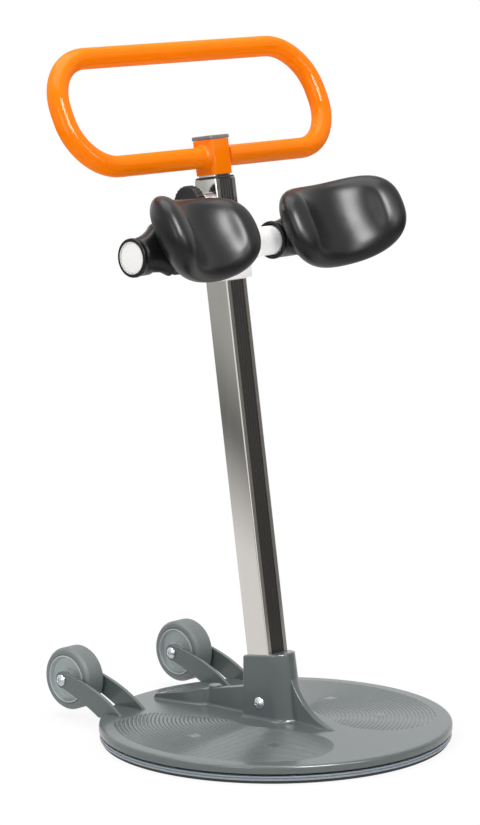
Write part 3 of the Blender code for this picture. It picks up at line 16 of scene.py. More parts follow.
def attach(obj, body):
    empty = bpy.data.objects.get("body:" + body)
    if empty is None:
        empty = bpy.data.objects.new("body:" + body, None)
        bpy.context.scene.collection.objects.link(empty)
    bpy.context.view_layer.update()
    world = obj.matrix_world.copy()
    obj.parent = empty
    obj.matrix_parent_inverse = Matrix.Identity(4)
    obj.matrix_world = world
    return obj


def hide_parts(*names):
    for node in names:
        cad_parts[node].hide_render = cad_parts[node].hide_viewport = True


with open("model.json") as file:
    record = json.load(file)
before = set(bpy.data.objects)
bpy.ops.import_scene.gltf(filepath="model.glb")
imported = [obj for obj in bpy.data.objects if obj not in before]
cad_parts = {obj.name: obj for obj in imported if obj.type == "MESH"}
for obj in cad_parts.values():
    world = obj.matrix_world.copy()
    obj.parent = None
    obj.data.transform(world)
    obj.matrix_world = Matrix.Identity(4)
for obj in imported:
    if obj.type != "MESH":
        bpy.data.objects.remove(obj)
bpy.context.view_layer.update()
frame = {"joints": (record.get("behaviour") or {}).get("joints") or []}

JOINTS = {joint["name"]: joint for joint in frame["joints"]}

# %% [markdown]
# ## Camera
# The view was solved from the round rim, the straight column and the two equal wheels. A long
# lens far away keeps the rim's ellipse as flat as it is in the picture. The lens is worked out
# from the focal length in picture heights, so it doesn't depend on the render size. The camera
# first rolls, then tips up from looking straight down, then turns to its azimuth.

# %% Camera
PICTURE_HEIGHT = 825
FOCAL_PIXELS = 3380.76
CAMERA_PLACE = (-3.14165, -2.95269, 1.15429)
CAMERA_AZIMUTH = math.radians(-46.2018)
CAMERA_ELEVATION = math.radians(9.5118)
CAMERA_ROLL = math.radians(-0.4897)


def linked(name, data):
    """A new object in the scene that shows the data."""
    made = bpy.data.objects.new(name, data)
    bpy.context.scene.collection.objects.link(made)
    return made


lens = bpy.data.cameras.new("camera")
lens.lens = lens.sensor_width * FOCAL_PIXELS / PICTURE_HEIGHT
camera = linked("camera", lens)
camera.matrix_world = (
    Matrix.Translation(CAMERA_PLACE)
    @ Matrix.Rotation(CAMERA_AZIMUTH, 4, "Z")
    @ Matrix.Rotation(math.pi / 2 - CAMERA_ELEVATION, 4, "X")
    @ Matrix.Rotation(CAMERA_ROLL, 4, "Z")
)
bpy.context.scene.camera = camera
bpy.context.scene.view_settings.view_transform = "Standard"
print("lens", round(lens.lens, 1), "mm")

# %% [markdown]
# ## Shader maths as expressions
# A material is a graph of nodes, which is long to write by hand. A small class wraps one
# output socket, so that `0.3 + mask * 0.1` adds the Math nodes by itself. Every other node
# comes from one method, which sets the node's own settings first and its sockets after.


# %% Wires and paints
class Wire:
    """An output socket that takes part in sums like a number."""

    def __init__(self, graph, socket):
        self.graph = graph
        self.socket = socket

    def math(self, operation, first, second):
        return self.graph.node("ShaderNodeMath", {"operation": operation}, {0: first, 1: second})

    def __add__(self, other):
        return self.math("ADD", self, other)

    def __radd__(self, other):
        return self.math("ADD", other, self)

    def __sub__(self, other):
        return self.math("SUBTRACT", self, other)

    def __mul__(self, other):
        return self.math("MULTIPLY", self, other)

    def clamped(self):
        """The value kept between 0 and 1."""
        values = {"Value": self, "Min": 0.0, "Max": 1.0}
        return self.graph.node("ShaderNodeClamp", {}, values)


class Graph:
    """A node tree whose nodes are added by method calls."""

    def __init__(self, tree):
        self.tree = tree

    def feed(self, socket, value):
        if isinstance(value, Wire):
            self.tree.links.new(value.socket, socket)
        elif hasattr(value, "__len__") and len(value) == 3 and socket.type == "RGBA":
            socket.default_value = (*value, 1.0)
        else:
            socket.default_value = value

    def node(self, kind, settings, values, output=0):
        """Adds a node of a kind, with its settings, then its socket values or wires."""
        made = self.tree.nodes.new(kind)
        for key, value in settings.items():
            setattr(made, key, value)
        for key, value in values.items():
            self.feed(made.inputs[key], value)
        return Wire(self, made.outputs[output])

    def ray(self, kind):
        """1 for rays of one kind, 0 for the others."""
        return self.node("ShaderNodeLightPath", {}, {}, kind)


class Paint(Graph):
    """A material with the Principled shader."""

    def __init__(self, name):
        self.name = name
        self.material = bpy.data.materials.new(name)
        self.material.use_nodes = True
        super().__init__(self.material.node_tree)
        self.shader = self.tree.nodes["Principled BSDF"]

    def set(self, **values):
        """Sets sockets of the shader, named with _ in place of a space."""
        for key, value in values.items():
            self.feed(self.shader.inputs[key.replace("_", " ")], value)

    def place(self, stretch=(1.0, 1.0, 1.0)):
        """Object coordinates in metres, stretched by a factor on each axis."""
        spot = self.node("ShaderNodeTexCoord", {}, {}, "Object")
        return self.node("ShaderNodeMapping", {}, {"Vector": spot, "Scale": stretch})

    def noise(self, scale, detail=2.0, stretch=(1.0, 1.0, 1.0)):
        """Soft noise from 0 to 1 with about `scale` lumps to the metre."""
        values = {"Vector": self.place(stretch), "Scale": scale, "Detail": detail}
        return self.node("ShaderNodeTexNoise", {}, values, "Fac")

    def mix(self, share, first, second):
        """A colour between two colours."""
        settings = {"data_type": "RGBA", "clamp_factor": True}
        return self.node("ShaderNodeMix", settings, {0: share, 6: first, 7: second}, 2)

    def bump(self, height, strength, distance):
        """A normal bent by a height, over a distance in metres."""
        values = {"Strength": strength, "Distance": distance, "Height": height}
        return self.node("ShaderNodeBump", {}, values)


def shade(colour, factor):
    """A colour made lighter or darker."""
    return tuple(min(1.0, part * factor) for part in colour)


# %% [markdown]
# ## Moulded grey plastic
# Plate, fork arms and hubs are moulded in one grey. A moulding is never quite even: broad
# patches differ by a few per cent, and the tool leaves a grain far finer than a millimetre.
# The grain goes to Bump, the patches to colour and roughness.


# %% Moulded plastics
def moulded(name, colour, roughness, grain=1900.0, strength=0.20, gloss=0.5):
    """A moulded plastic with broad patches, fine grain and slightly uneven gloss."""
    paint = Paint(name)
    patches = paint.noise(9.0, 3.0)
    fine = paint.noise(grain)
    share = (patches * 0.7 + fine * 0.3 - 0.2) * 1.4
    paint.set(
        Base_Color=paint.mix(share.clamped(), shade(colour, 0.90), shade(colour, 1.08)),
        Roughness=(roughness - 0.06) + patches * 0.12,
        Specular_IOR_Level=gloss,
        Normal=paint.bump(fine, strength, 0.0002),
    )
    return paint


PLATE_GREY = (0.112, 0.134, 0.133)
WHEEL_GREY = (0.160, 0.182, 0.182)
plate_paint = moulded("moulded_grey", PLATE_GREY, 0.20, strength=0.015)
tyre_paint = moulded("tyre_grey", WHEEL_GREY, 0.52, grain=1400.0, strength=0.25)
hub_paint = moulded("hub_grey", shade(WHEEL_GREY, 2.35), 0.34)
# The bead's grey is lighter than the hub's: it is a painted highlight on the edge of the hub's
# raised ring.
bead_highlight_paint = moulded("hub_highlight_bead", (0.46, 0.48, 0.475), 0.36)
cap_paint = moulded("cap_grey", (0.170, 0.172, 0.175), 0.45)
knob_paint = moulded("knob_black", (0.024, 0.023, 0.023), 0.45, 1500.0, 0.25, gloss=0.30)
strip_paint = moulded("rail_black", (0.022, 0.020, 0.017), 0.26, 2200.0, 0.06, gloss=0.30)
liner_paint = moulded("acetal", (0.72, 0.71, 0.68), 0.50)
plug_paint = moulded("white_plastic", (0.90, 0.895, 0.88), 0.42, grain=1600.0, strength=0.08)
rubber_paint = moulded("mat_rubber", (0.042, 0.043, 0.040), 0.80, grain=900.0, strength=0.5)

# %% [markdown]
# ## Enamel
# The loop and its sleeve are steel under glossy orange enamel: a clear coat over a rougher
# colour, with the faint ripple that sprayed paint keeps. The white parts have a satin powder
# coat, whose ripple is coarser.


# %% Enamels
def enamel(name, colour, roughness, ripple, strength, gloss=0.4, coat=0.0):
    """Paint on steel with a ripple of a given number of lumps to the metre."""
    paint = Paint(name)
    waves = paint.noise(ripple)
    patches = paint.noise(14.0)
    paint.set(
        Base_Color=paint.mix(patches, shade(colour, 0.94), shade(colour, 1.04)),
        Roughness=(roughness - 0.03) + patches * 0.06,
        Specular_IOR_Level=gloss,
        Coat_Weight=coat,
        Coat_Roughness=0.05,
        Normal=paint.bump(waves, strength, 0.0003),
    )
    return paint


orange_paint = enamel("orange_enamel", (1.0, 0.205, 0.0), 0.30, 420.0, 0.03, gloss=0.0, coat=0.26)
white_paint = enamel("white_enamel", (1.0, 0.99, 0.97), 0.38, 900.0, 0.10)
disc_paint = enamel("disc_grey", (0.29, 0.33, 0.37), 0.36, 900.0, 0.08)

# %% [markdown]
# ## Metals
# Chrome plate is a mirror with wiped smudges that only change its roughness. Zinc plate on
# the screws has a crystalline mottle, seen as small changes of colour and roughness.


# %% Metals
def plated(name, colour, roughness, mottle, spread, stretch=(1.0, 1.0, 1.0)):
    """A metal plate whose roughness and tone wander by `spread` over a mottle."""
    paint = Paint(name)
    spots = paint.noise(mottle, 3.0, stretch)
    paint.set(
        Base_Color=paint.mix(spots, shade(colour, 0.93), shade(colour, 1.05)),
        Metallic=1.0,
        Roughness=(roughness - spread / 2) + spots * spread,
        Normal=paint.bump(spots, 0.02, 0.0002),
    )
    return paint


chrome_paint = plated("chrome", (0.70, 0.685, 0.67), 0.10, 60.0, 0.08, (1.0, 1.0, 0.05))
zinc_paint = plated("zinc_steel", (0.56, 0.60, 0.63), 0.22, 700.0, 0.12)

# %% [markdown]
# ## Numbers and places
# The measurements repeat the ones in the part's source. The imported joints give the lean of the
# column: its axis is the slide direction of the handle. Two functions carry arrays of points
# from the upright base or from the leaning column into the shared frame.

# %% Places
GAP = 0.0003
BASE_LIFT = 0.0043
SLIDE = np.array(JOINTS["handle_slide"]["axis"], float)
LEAN = math.atan2(SLIDE[1], SLIDE[2])
COLUMN_FOOT_Y = -0.0018
TURN = 2 * math.pi
SIDES = ((-1, "left"), (1, "right"))


def points(x, y, z):
    """Three arrays broadcast together and stacked as (..., 3)."""
    return np.stack(np.broadcast_arrays(*(np.asarray(v, float) for v in (x, y, z))), axis=-1)


def on_base(p):
    """A point of the base frame lifted by the mat below it."""
    return p + np.array((0.0, 0.0, BASE_LIFT))


def turned_x(p, angle):
    """Points turned about the X axis: y and z mix by cosine and sine of the angle."""
    x, y, z = np.moveaxis(np.asarray(p, float), -1, 0)
    c, s = math.cos(angle), math.sin(angle)
    return points(x, y * c - z * s, y * s + z * c)


def on_column(p):
    """A point of the column frame leant forward about X, then set on its foot."""
    return on_base(turned_x(p, -LEAN) + np.array((0.0, COLUMN_FOOT_Y, 0.0)))


print("lean", round(math.degrees(LEAN), 2), "degrees")

# %% [markdown]
# ## Surfaces from grids
# A piece is a grid of points whose rows are profiles or sections. Neighbouring points give the
# quads in one array operation. A grid may be joined to itself along either direction, and an
# open row of a loft is closed with one polygon. Points that fall together, as at a pole, are
# merged, and the faces are then turned outwards.

# %% Grid pieces
# The angle between two faces from which their edge shows as sharp.
SOFT_ANGLE, CAP_ANGLE, LOBE_ANGLE, PLATE_ANGLE = (math.radians(a) for a in (38, 55, 60, 75))
MERGE = 0.000002
# Whether rows join, whether columns join, and whether polygons close the two end rows.
RING, LATHE, LOFT = (True, True, False), (False, True, False), (False, True, True)


def grid_faces(rows, columns, join_rows, join_columns):
    """Corner numbers of the quads: each takes its row, the next row and the next column."""
    i = np.arange(rows if join_rows else rows - 1)[:, None]
    j = np.arange(columns if join_columns else columns - 1)[None, :]
    i2, j2 = (i + 1) % rows, (j + 1) % columns
    quads = (i * columns + j, i * columns + j2, i2 * columns + j2, i2 * columns + j)
    quads = [np.broadcast_to(q, (i.shape[0], j.shape[1])) for q in quads]
    return np.stack(quads, axis=-1).reshape(-1, 4)


def built(name, grid, kind, paint, body, node, soft=SOFT_ANGLE):
    """One object from a grid, with its paint, on its body, in place of a CAD node."""
    join_rows, join_columns, ends = kind
    rows, columns = grid.shape[:2]
    faces = grid_faces(rows, columns, join_rows, join_columns).tolist()
    if ends:
        faces.append(list(range(columns))[::-1])
        faces.append(list(range((rows - 1) * columns, rows * columns)))
    data = bpy.data.meshes.new(name)
    data.from_pydata(grid.reshape(-1, 3).tolist(), [], faces)
    shape = bmesh.new()
    shape.from_mesh(data)
    bmesh.ops.remove_doubles(shape, verts=shape.verts, dist=MERGE)
    bmesh.ops.dissolve_degenerate(shape, edges=shape.edges, dist=MERGE)
    bmesh.ops.recalc_face_normals(shape, faces=shape.faces)
    shape.to_mesh(data)
    shape.free()
    data.shade_smooth()
    data.set_sharp_from_angle(angle=soft)
    data.materials.append(paint.material)
    piece = linked(name, data)
    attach(piece, body)
    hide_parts(node)
    return piece


def faces_of(piece):
    """The number of faces of a piece."""
    return len(piece.data.polygons)


print("a quarter turn of 4 points has", len(grid_faces(2, 4, False, False)), "quads")

# %% [markdown]
# ## Profiles and outlines
# Most pieces start as a short polyline. Its corners are rounded, because a rounded edge is
# what catches the light. Then it is turned about an axis, or each of its points becomes one
# square outline with round corners.


# %% Profiles
def whole_turn(steps):
    """The angles of equal steps round a circle."""
    return np.arange(steps) / steps * TURN


def quarter_turn(steps):
    """Angles spread evenly from 0 to a quarter turn."""
    return np.linspace(0, math.pi / 2, steps)


def circle(a, radius):
    """Points at the angles a on a circle about the origin."""
    return radius * np.stack((np.cos(a), np.sin(a)), axis=-1)


def lathe(profile, steps):
    """Rows are the profile's points, and each turns about Z: (r cos a, r sin a, z)."""
    r, z = np.asarray(profile, float).T
    a = whole_turn(steps)
    return points(r[:, None] * np.cos(a), r[:, None] * np.sin(a), z[:, None] + 0 * a)


def axle(profile, steps, centre=(0, 0, 0)):
    """A lathe shape laid with its axis along X, about a centre."""
    x, y, z = np.moveaxis(lathe(profile, steps), -1, 0)
    return points(z, y, -x) + np.array(centre)


def filleted(corners, radii, steps=4, closed=False):
    """A polyline whose corners are rounded: each corner becomes an arc of its own radius.

    The arc starts and ends at the distance radius / tan(half angle) from the corner, cut to
    0.45 of the shorter side, and runs as a quadratic curve with the corner as its handle.
    """
    p = np.asarray(corners, float)
    radii = np.broadcast_to(np.asarray(radii, float), (len(p),))
    before, after = np.roll(p, 1, axis=0) - p, np.roll(p, -1, axis=0) - p
    lengths = np.hypot(before[:, 0], before[:, 1]), np.hypot(after[:, 0], after[:, 1])
    with np.errstate(divide="ignore", invalid="ignore"):
        u, v = before / lengths[0][:, None], after / lengths[1][:, None]
    half = np.arccos(np.clip((u * v).sum(axis=1), -1, 1)) / 2
    cut = np.minimum(radii / np.maximum(np.tan(half), 0.05), 0.45 * np.minimum(*lengths))
    found = []
    for i, corner in enumerate(p):
        if (not closed and i in (0, len(p) - 1)) or radii[i] == 0:
            found.append(corner[None])
        else:
            found.append(curved(corner + u[i] * cut[i], corner, corner + v[i] * cut[i], steps))
    return np.concatenate(found)


def block(near, far, low, high, radii, steps=4, closed=True):
    """The profile of a ring or a disc, from a near to a far radius and from low to high."""
    return filleted(((near, low), (far, low), (far, high), (near, high)), radii, steps, closed)


def round_rectangle(half_x, half_y, corner, steps=6, shift_y=0.0):
    """A rectangle's outline with round corners, anticlockwise, the same count for any size."""
    turn = np.arange(4)[:, None]
    a = (turn + np.linspace(0, 1, steps + 1)[None]) * math.pi / 2
    signs = np.array(((1, 1), (-1, 1), (-1, -1), (1, -1)), float)
    x = signs[:, :1] * (half_x - corner) + corner * np.cos(a)
    y = signs[:, 1:] * (half_y - corner) + corner * np.sin(a)
    return np.stack((x.ravel(), y.ravel() + shift_y), axis=-1)


def squares(line, corners, steps=8, depth=1.0, shift_y=0.0):
    """One outline for each (half side, height) of a line, with a corner radius for each."""
    outlines = np.stack([
        round_rectangle(half, half * depth, corner, steps, shift_y)
        for half, corner in zip(line[:, 0], corners)
    ])
    return points(outlines[..., 0], outlines[..., 1], line[:, 1:])


def curved(first, handle, last, steps):
    """Points of a quadratic curve from first to last that leans towards its handle."""
    t = np.linspace(0, 1, steps + 1)[:, None]
    ends = (1 - t) ** 2 * np.asarray(first, float) + t**2 * np.asarray(last, float)
    return ends + 2 * t * (1 - t) * np.asarray(handle, float)


def normals(line):
    """Unit normals of a line in a plane: (-y, x) of its run at each point."""
    run = np.gradient(line, axis=0)
    run = run / np.hypot(run[:, 0], run[:, 1])[:, None]
    return np.stack((-run[:, 1], run[:, 0]), axis=-1)


print("a block with round corners has", len(block(0.1, 0.2, 0, 0.1, 0.01)), "points")

# %% [markdown]
# ## Floor disc and mat
# Under the turning plate lie a pale steel disc and a thin rubber mat, seen as two fine lines.
# Both are lathe shapes. The disc has a fine groove round its edge, and a recess below for the
# head of the pivot bolt.

# %% Floor disc and mat
PLATE_RADIUS = 0.2320
DISC_RADIUS = 0.2310
DISC_THICKNESS = 0.0057
DISC_WAIST = DISC_RADIUS - 0.0016
RECESS_RADIUS, RECESS_TOP = 0.0153, 0.0033
MAT_RADIUS = 0.2285
MAT_THICKNESS = 0.0040
PIVOT_RADIUS = 0.0063
DISC_STEPS = 192

mat_profile = block(0, MAT_RADIUS, -GAP, -GAP - MAT_THICKNESS, (0, 0.0009, 0.0009, 0), closed=False)
built(
    "floor_mat", on_base(lathe(mat_profile, DISC_STEPS)), LATHE,
    rubber_paint, "floor_base", "anti_slip_mat",
)
disc_profile = filleted(
    ((RECESS_RADIUS, 0), (DISC_RADIUS, 0), (DISC_RADIUS, 0.0024), (DISC_WAIST, 0.0028),
     (DISC_WAIST, 0.0034), (DISC_RADIUS, 0.0038), (DISC_RADIUS, DISC_THICKNESS),
     (PIVOT_RADIUS, DISC_THICKNESS), (PIVOT_RADIUS, RECESS_TOP), (RECESS_RADIUS, RECESS_TOP)),
    (0, 0.0005, 0.0003, 0, 0, 0.0003, 0.0010, 0, 0, 0), closed=True,
)
disc = built(
    "turning_disc", on_base(lathe(disc_profile, DISC_STEPS)), RING,
    disc_paint, "floor_base", "floor_disc",
)
print("disc", faces_of(disc), "faces")

# %% [markdown]
# ## The foot plate
# One big moulding: a low cone with two foot zones full of concentric grooves. The whole plate
# is one polar grid. Its rings follow the grooves, and its columns bend with the edges of the
# zones, so that every groove ends exactly on the zone's outline, with few faces.

# %% Outline of a foot zone
PLATE_RIM_TOP = 0.0192
PLATE_CROWN = 0.0045
RIM_WIDTH = 0.0105
EDGE_RADIUS = 0.0040
ZONE_OUTER = 0.2165
ZONE_FRONT, ZONE_REAR = math.radians(-38), math.radians(43)
ZONE_EDGE = np.array((
    (0.0930, 0.1430), (0.0760, 0.1100), (0.0600, 0.0680), (0.0520, 0.0280), (0.0540, -0.0120),
    (0.0440, -0.0500), (0.0300, -0.0900), (0.0320, -0.1200), (0.0480, -0.1470),
    (0.0750, -0.1640), (0.1080, -0.1675), (0.1400, -0.1540),
))
LEAST_SWEEP = math.radians(6)


def through(knots, steps):
    """A smooth curve through points: cubic pieces whose slope follows the neighbours."""
    p = np.asarray(knots, float)
    p = np.concatenate((2 * p[:1] - p[1:2], p, 2 * p[-1:] - p[-2:-1]))
    t = (np.arange(steps) / steps)[None, :, None]
    a, b, c, d = (p[k : len(p) - 3 + k][:, None] for k in range(4))
    curve = a * (-t + 2 * t**2 - t**3) + b * (2 - 5 * t**2 + 3 * t**3)
    curve = curve + c * (t + 4 * t**2 - 3 * t**3) + d * (t**3 - t**2)
    return np.concatenate((curve.reshape(-1, p.shape[1]) / 2, p[-2:-1]))


zone_ends = circle(np.array((ZONE_REAR, ZONE_FRONT)), ZONE_OUTER)
zone_line = through(np.concatenate((zone_ends[:1], ZONE_EDGE, zone_ends[1:])), steps=12)
zone_r = np.hypot(zone_line[:, 0], zone_line[:, 1])
zone_a = np.arctan2(zone_line[:, 1], zone_line[:, 0])
nearest = int(np.argmin(zone_r))


def zone_span(r):
    """The angles where a ring of radius r enters and leaves the right foot zone."""
    high = np.interp(r, zone_r[: nearest + 1][::-1], zone_a[: nearest + 1][::-1])
    low = np.interp(r, zone_r[nearest:], zone_a[nearest:])
    middle, half = (low + high) / 2, np.maximum((high - low) / 2, LEAST_SWEEP)
    return middle - half, middle + half


print("foot zone starts", round(float(zone_r.min()) * 1000, 1), "mm from the axis")

# %% [markdown]
# ## Rings, columns and grooves of the plate
# Each groove is four rings: two at its lips and two at its floor. The rings go on over the
# rolled rim and along the underside, with its skirt, the land that runs on the glide ring and
# the hub, back to the bore. Small square marks stay free of grooves.

# %% Plate rings and columns
GROOVE_FIRST = 0.0600
GROOVE_PITCH = 0.0054
GROOVE_COUNT = 29
GROOVE_HALF = 0.00125
GROOVE_FLOOR = 0.00055
GROOVE_DEPTH = 0.0012
GROOVE_END = 0.0010
ZONE_EASE = 0.0006
MARKS = ((-0.134, 0.016), (0.123, 0.016), (-0.102, -0.093), (0.102, -0.093))
MARK_HALF = 0.0075
UNDERSIDE = np.array((
    (0.2320, 0.0150), (0.2320, 0.0099), (0.2317, 0.0091), (0.2310, 0.0087), (0.2250, 0.0087),
    (0.2246, 0.0130), (0.2090, 0.0133), (0.2090, 0.0087), (0.1950, 0.0087), (0.1950, 0.0137),
    (0.0280, 0.0170), (0.0280, 0.0087), (0.0200, 0.0087),
))


def plate_top(r):
    """Height of the low cone of the plate at a radius."""
    return PLATE_RIM_TOP + PLATE_CROWN * (1 - r / (PLATE_RADIUS - RIM_WIDTH))


groove_places = GROOVE_FIRST + GROOVE_PITCH * np.arange(GROOVE_COUNT)
groove_sides = np.array((-GROOVE_HALF, -GROOVE_FLOOR, GROOVE_FLOOR, GROOVE_HALF))
groove_r = (groove_places[:, None] + groove_sides).ravel()
groove_drop = np.tile((0.0, GROOVE_DEPTH, GROOVE_DEPTH, 0.0), GROOVE_COUNT)
inner_r = np.array(
    (0.0200, 0.0260, 0.0320, 0.0380, 0.0440, 0.0500, 0.0550, groove_r[0] - ZONE_EASE)
)
outer_r = np.array((groove_r[-1] + ZONE_EASE, ZONE_OUTER, 0.2205))
top_r = np.concatenate((inner_r, groove_r, outer_r))
quarter = quarter_turn(9)[::-1]
edge_r = PLATE_RADIUS - EDGE_RADIUS + EDGE_RADIUS * np.cos(quarter)
edge_z = PLATE_RIM_TOP - EDGE_RADIUS + EDGE_RADIUS * np.sin(quarter)
ring_r = np.concatenate((top_r, edge_r, UNDERSIDE[:, 0]))
ring_z = np.concatenate((plate_top(top_r), edge_z, UNDERSIDE[:, 1]))
ring_drop = np.zeros(len(ring_r))
ring_drop[len(inner_r) : len(inner_r) + len(groove_r)] = groove_drop


def plate_piece(name, rows, kind, soft=SOFT_ANGLE):
    """A piece of the plate's moulding."""
    return built(name, rows, kind, plate_paint, "platform", "foot_plate", soft)


def column_plan(land_front, zone, land_rear):
    """For each column: its span, its share of it, its shift and whether it is grooved."""
    front, rear = (
        [(k / (count + 1), 0, 0) for k in range(1, count + 1)] for count in (land_front, land_rear)
    )
    grooved = [(0, -ZONE_EASE, 0), (0, 0, 0), (0, GROOVE_END, 1)]
    grooved += [((k + 0.5) / zone, 0, 1) for k in range(zone)]
    grooved += [(1, -GROOVE_END, 1), (1, 0, 0), (1, ZONE_EASE, 0)]
    spans = (front, grooved, rear, grooved, front)
    return np.array([(i, *column) for i, columns in enumerate(spans) for column in columns]).T


column_span, column_share, column_shift, column_groove = column_plan(
    land_front=22, zone=116, land_rear=34
)
low, high = zone_span(ring_r)
limits = np.stack((
    0 * low - math.pi / 2, low, high, math.pi - high, math.pi - low, 0 * low + 1.5 * math.pi,
))
first = column_span.astype(int)
angle = limits[first].T + (limits[first + 1] - limits[first]).T * column_share
angle = angle + column_shift / ring_r[:, None]
plate_x, plate_y = ring_r[:, None] * np.cos(angle), ring_r[:, None] * np.sin(angle)
free = np.ones_like(plate_x)
for mark_x, mark_y in MARKS:
    reach = np.maximum(abs(plate_x - mark_x), abs(plate_y - mark_y))
    free = free * np.clip((reach - MARK_HALF) / GROOVE_END, 0, 1)
plate_z = ring_z[:, None] - ring_drop[:, None] * column_groove * free
plate = plate_piece(
    "grooved_plate", on_base(points(plate_x, plate_y, plate_z)), RING, PLATE_ANGLE
)
print("plate", faces_of(plate), "faces,", GROOVE_COUNT, "grooves a zone")

# %% [markdown]
# ## Socket of the column
# The plate rises into a socket that holds the leaning column. Its front is fully round and
# its rear square, and it widens to the rear and to the foot, as a moulding must to leave its
# tool. Rows run from the level plate to the leaning rim, so the foot stays flush with the
# plate. A quarter circle at the foot is the fillet, and a smaller one at the rim the lip.

# %% Socket
TUBE_SIDE = 0.038
SOCKET_TOP = 0.1077
SOCKET_LIP = 0.0022
SOCKET_FILLET = 0.0048
SOCKET_BORE_DEPTH = 0.030
SOCKET_FLOOR = PLATE_RIM_TOP + PLATE_CROWN - 0.0008
SOCKET_RISE = SOCKET_TOP - SOCKET_FLOOR
FRONT_ROUND, FRONT_SPREAD, FRONT_CENTRE = 0.0236, 0.0016, -0.0168
REAR_CORNER, REAR_TOP, REAR_FOOT = 0.0060, 0.0245, 0.0330
HALF_TOP, HALF_FOOT = 0.0245, 0.0285


def socket_outline(share, grow, steps=16):
    """The section at a share of the height, from 0 at the foot to 1, grown outwards.

    A half circle in front and two corner arcs behind, each point pushed out along its normal.
    """
    half = HALF_FOOT + (HALF_TOP - HALF_FOOT) * share - REAR_CORNER
    rear = REAR_FOOT + (REAR_TOP - REAR_FOOT) * share - REAR_CORNER
    front = np.linspace(math.pi, TURN, 2 * steps + 1)
    corner = quarter_turn(steps // 2 + 1)
    angle = np.concatenate((front, corner, corner + math.pi / 2))
    counts = (len(front), len(corner), len(corner))
    r = np.repeat((FRONT_ROUND + FRONT_SPREAD * (1 - share), REAR_CORNER, REAR_CORNER), counts)
    x = np.repeat((0, half, -half), counts)
    y = np.repeat((FRONT_CENTRE, rear, rear), counts)
    return np.stack((x + (r + grow) * np.cos(angle), y + (r + grow) * np.sin(angle)), axis=-1)


fillet_turn, lip_turn = quarter_turn(8), quarter_turn(6)
skin_rise = np.concatenate((
    (-0.004,), SOCKET_FILLET * (1 - np.cos(fillet_turn)),
    np.linspace(SOCKET_FILLET, SOCKET_RISE - SOCKET_LIP, 7)[1:-1],
    SOCKET_RISE - SOCKET_LIP + SOCKET_LIP * np.sin(lip_turn),
))
skin_grow = np.concatenate((
    (SOCKET_FILLET,), SOCKET_FILLET * (1 - np.sin(fillet_turn)), np.zeros(5),
    -SOCKET_LIP * (1 - np.cos(lip_turn)),
))
skin = np.stack([
    socket_outline(max(rise, 0) / SOCKET_RISE, grow) for rise, grow in zip(skin_rise, skin_grow)
])
foot_level = (SOCKET_FLOOR + skin[..., 1] * math.sin(LEAN)) / math.cos(LEAN)
skin_z = foot_level + (SOCKET_TOP - foot_level) * skin_rise[:, None] / SOCKET_RISE
bore_turn = np.arctan2(skin[-1, :, 1], skin[-1, :, 0])
bore_x, bore_y = np.cos(bore_turn), np.sin(bore_turn)
bore_r = (TUBE_SIDE / 2 + GAP) / np.maximum(abs(bore_x), abs(bore_y))
bore_z = [[SOCKET_TOP], [SOCKET_TOP - SOCKET_BORE_DEPTH]]
socket_rows = np.concatenate((
    points(skin[..., 0], skin[..., 1], skin_z), points(bore_r * bore_x, bore_r * bore_y, bore_z),
))
plate_piece("column_socket", on_column(socket_rows), LOFT)
print("socket", round(2000 * float(skin[0, :, 0].max()), 1), "mm wide at its foot")

# %% [markdown]
# ## Fin and gusset
# In front of the socket stands a thin fin that sweeps down to the toes, and behind it a wedge
# that splits round a boss. Both are ribs: a line along the crest, a foot on the plate, walls
# with a little draft, rounded top edges and a concave fillet at the foot.

# %% Ribs
FIN_HALF = 0.0045
FIN_TOP = 0.0860
FIN_TOE = -0.1048
FIN_DRAFT = 0.0006
RIB_FILLET = 0.0035
RIB_EDGE = 0.0012
RIB_SINK = 0.0003
GUSSET_DRAFT = 0.12
BOSS_Y, BOSS_LOW, BOSS_TOP = 0.1100, 0.0290, 0.0474
# Along the gusset: y, height of the crest and half width.
GUSSET_STATIONS = np.array((
    (0.0180, 0.0640, 0.0085), (0.0600, 0.0545, 0.0085), (0.1000, 0.0462, 0.0085),
    (0.1130, 0.0434, 0.0088), (0.1180, 0.0426, 0.0115), (0.1250, 0.0416, 0.0150),
    (0.1460, 0.0358, 0.0210), (0.1720, 0.0306, 0.0252), (0.1930, 0.0262, 0.0282),
    (0.1966, 0.0240, 0.0284), (0.1984, 0.0206, 0.0284),
))


def rib(crest, half_top, half_foot):
    """A closed rib on the plate from the (y, z) of its crest and its half widths.

    The top edges are quarter circles drawn in the crest's own normal plane, the walls run
    straight from them to the fillets, and a fillet is a quarter circle on the plate.
    """
    floor = plate_top(abs(crest[:, 0])) - RIB_SINK
    normal = normals(crest)
    normal = normal * np.where(normal[:, 1:] < 0, -1, 1)
    y0, z0 = crest[:, :1], crest[:, 1:]
    rise = np.maximum(z0[:, 0] - floor, 0.0004)
    f = np.minimum(RIB_FILLET, 0.45 * rise)[:, None]
    e = np.minimum(np.minimum(RIB_EDGE, 0.4 * rise), 0.8 * half_top)[:, None]
    a = quarter_turn(6)[None]
    foot_x = half_foot[:, None] + f * (1 - np.sin(a))
    foot_z = floor[:, None] + f * (1 - np.cos(a))
    top_x = half_top[:, None] - e + e * np.cos(a)
    top_y = y0 + normal[:, :1] * e * (np.sin(a) - 1)
    top_z = z0 + normal[:, 1:] * e * (np.sin(a) - 1)
    side = points(
        np.hstack((foot_x, top_x)), np.hstack((y0 + 0 * a, top_y)), np.hstack((foot_z, top_z))
    )
    sunk = side[:, :1] * (1, 1, 0) + points(0, 0, floor[:, None] - 0.003)
    half = np.hstack((sunk, side))
    return on_base(np.hstack((half, half[:, ::-1] * (-1, 1, 1))))


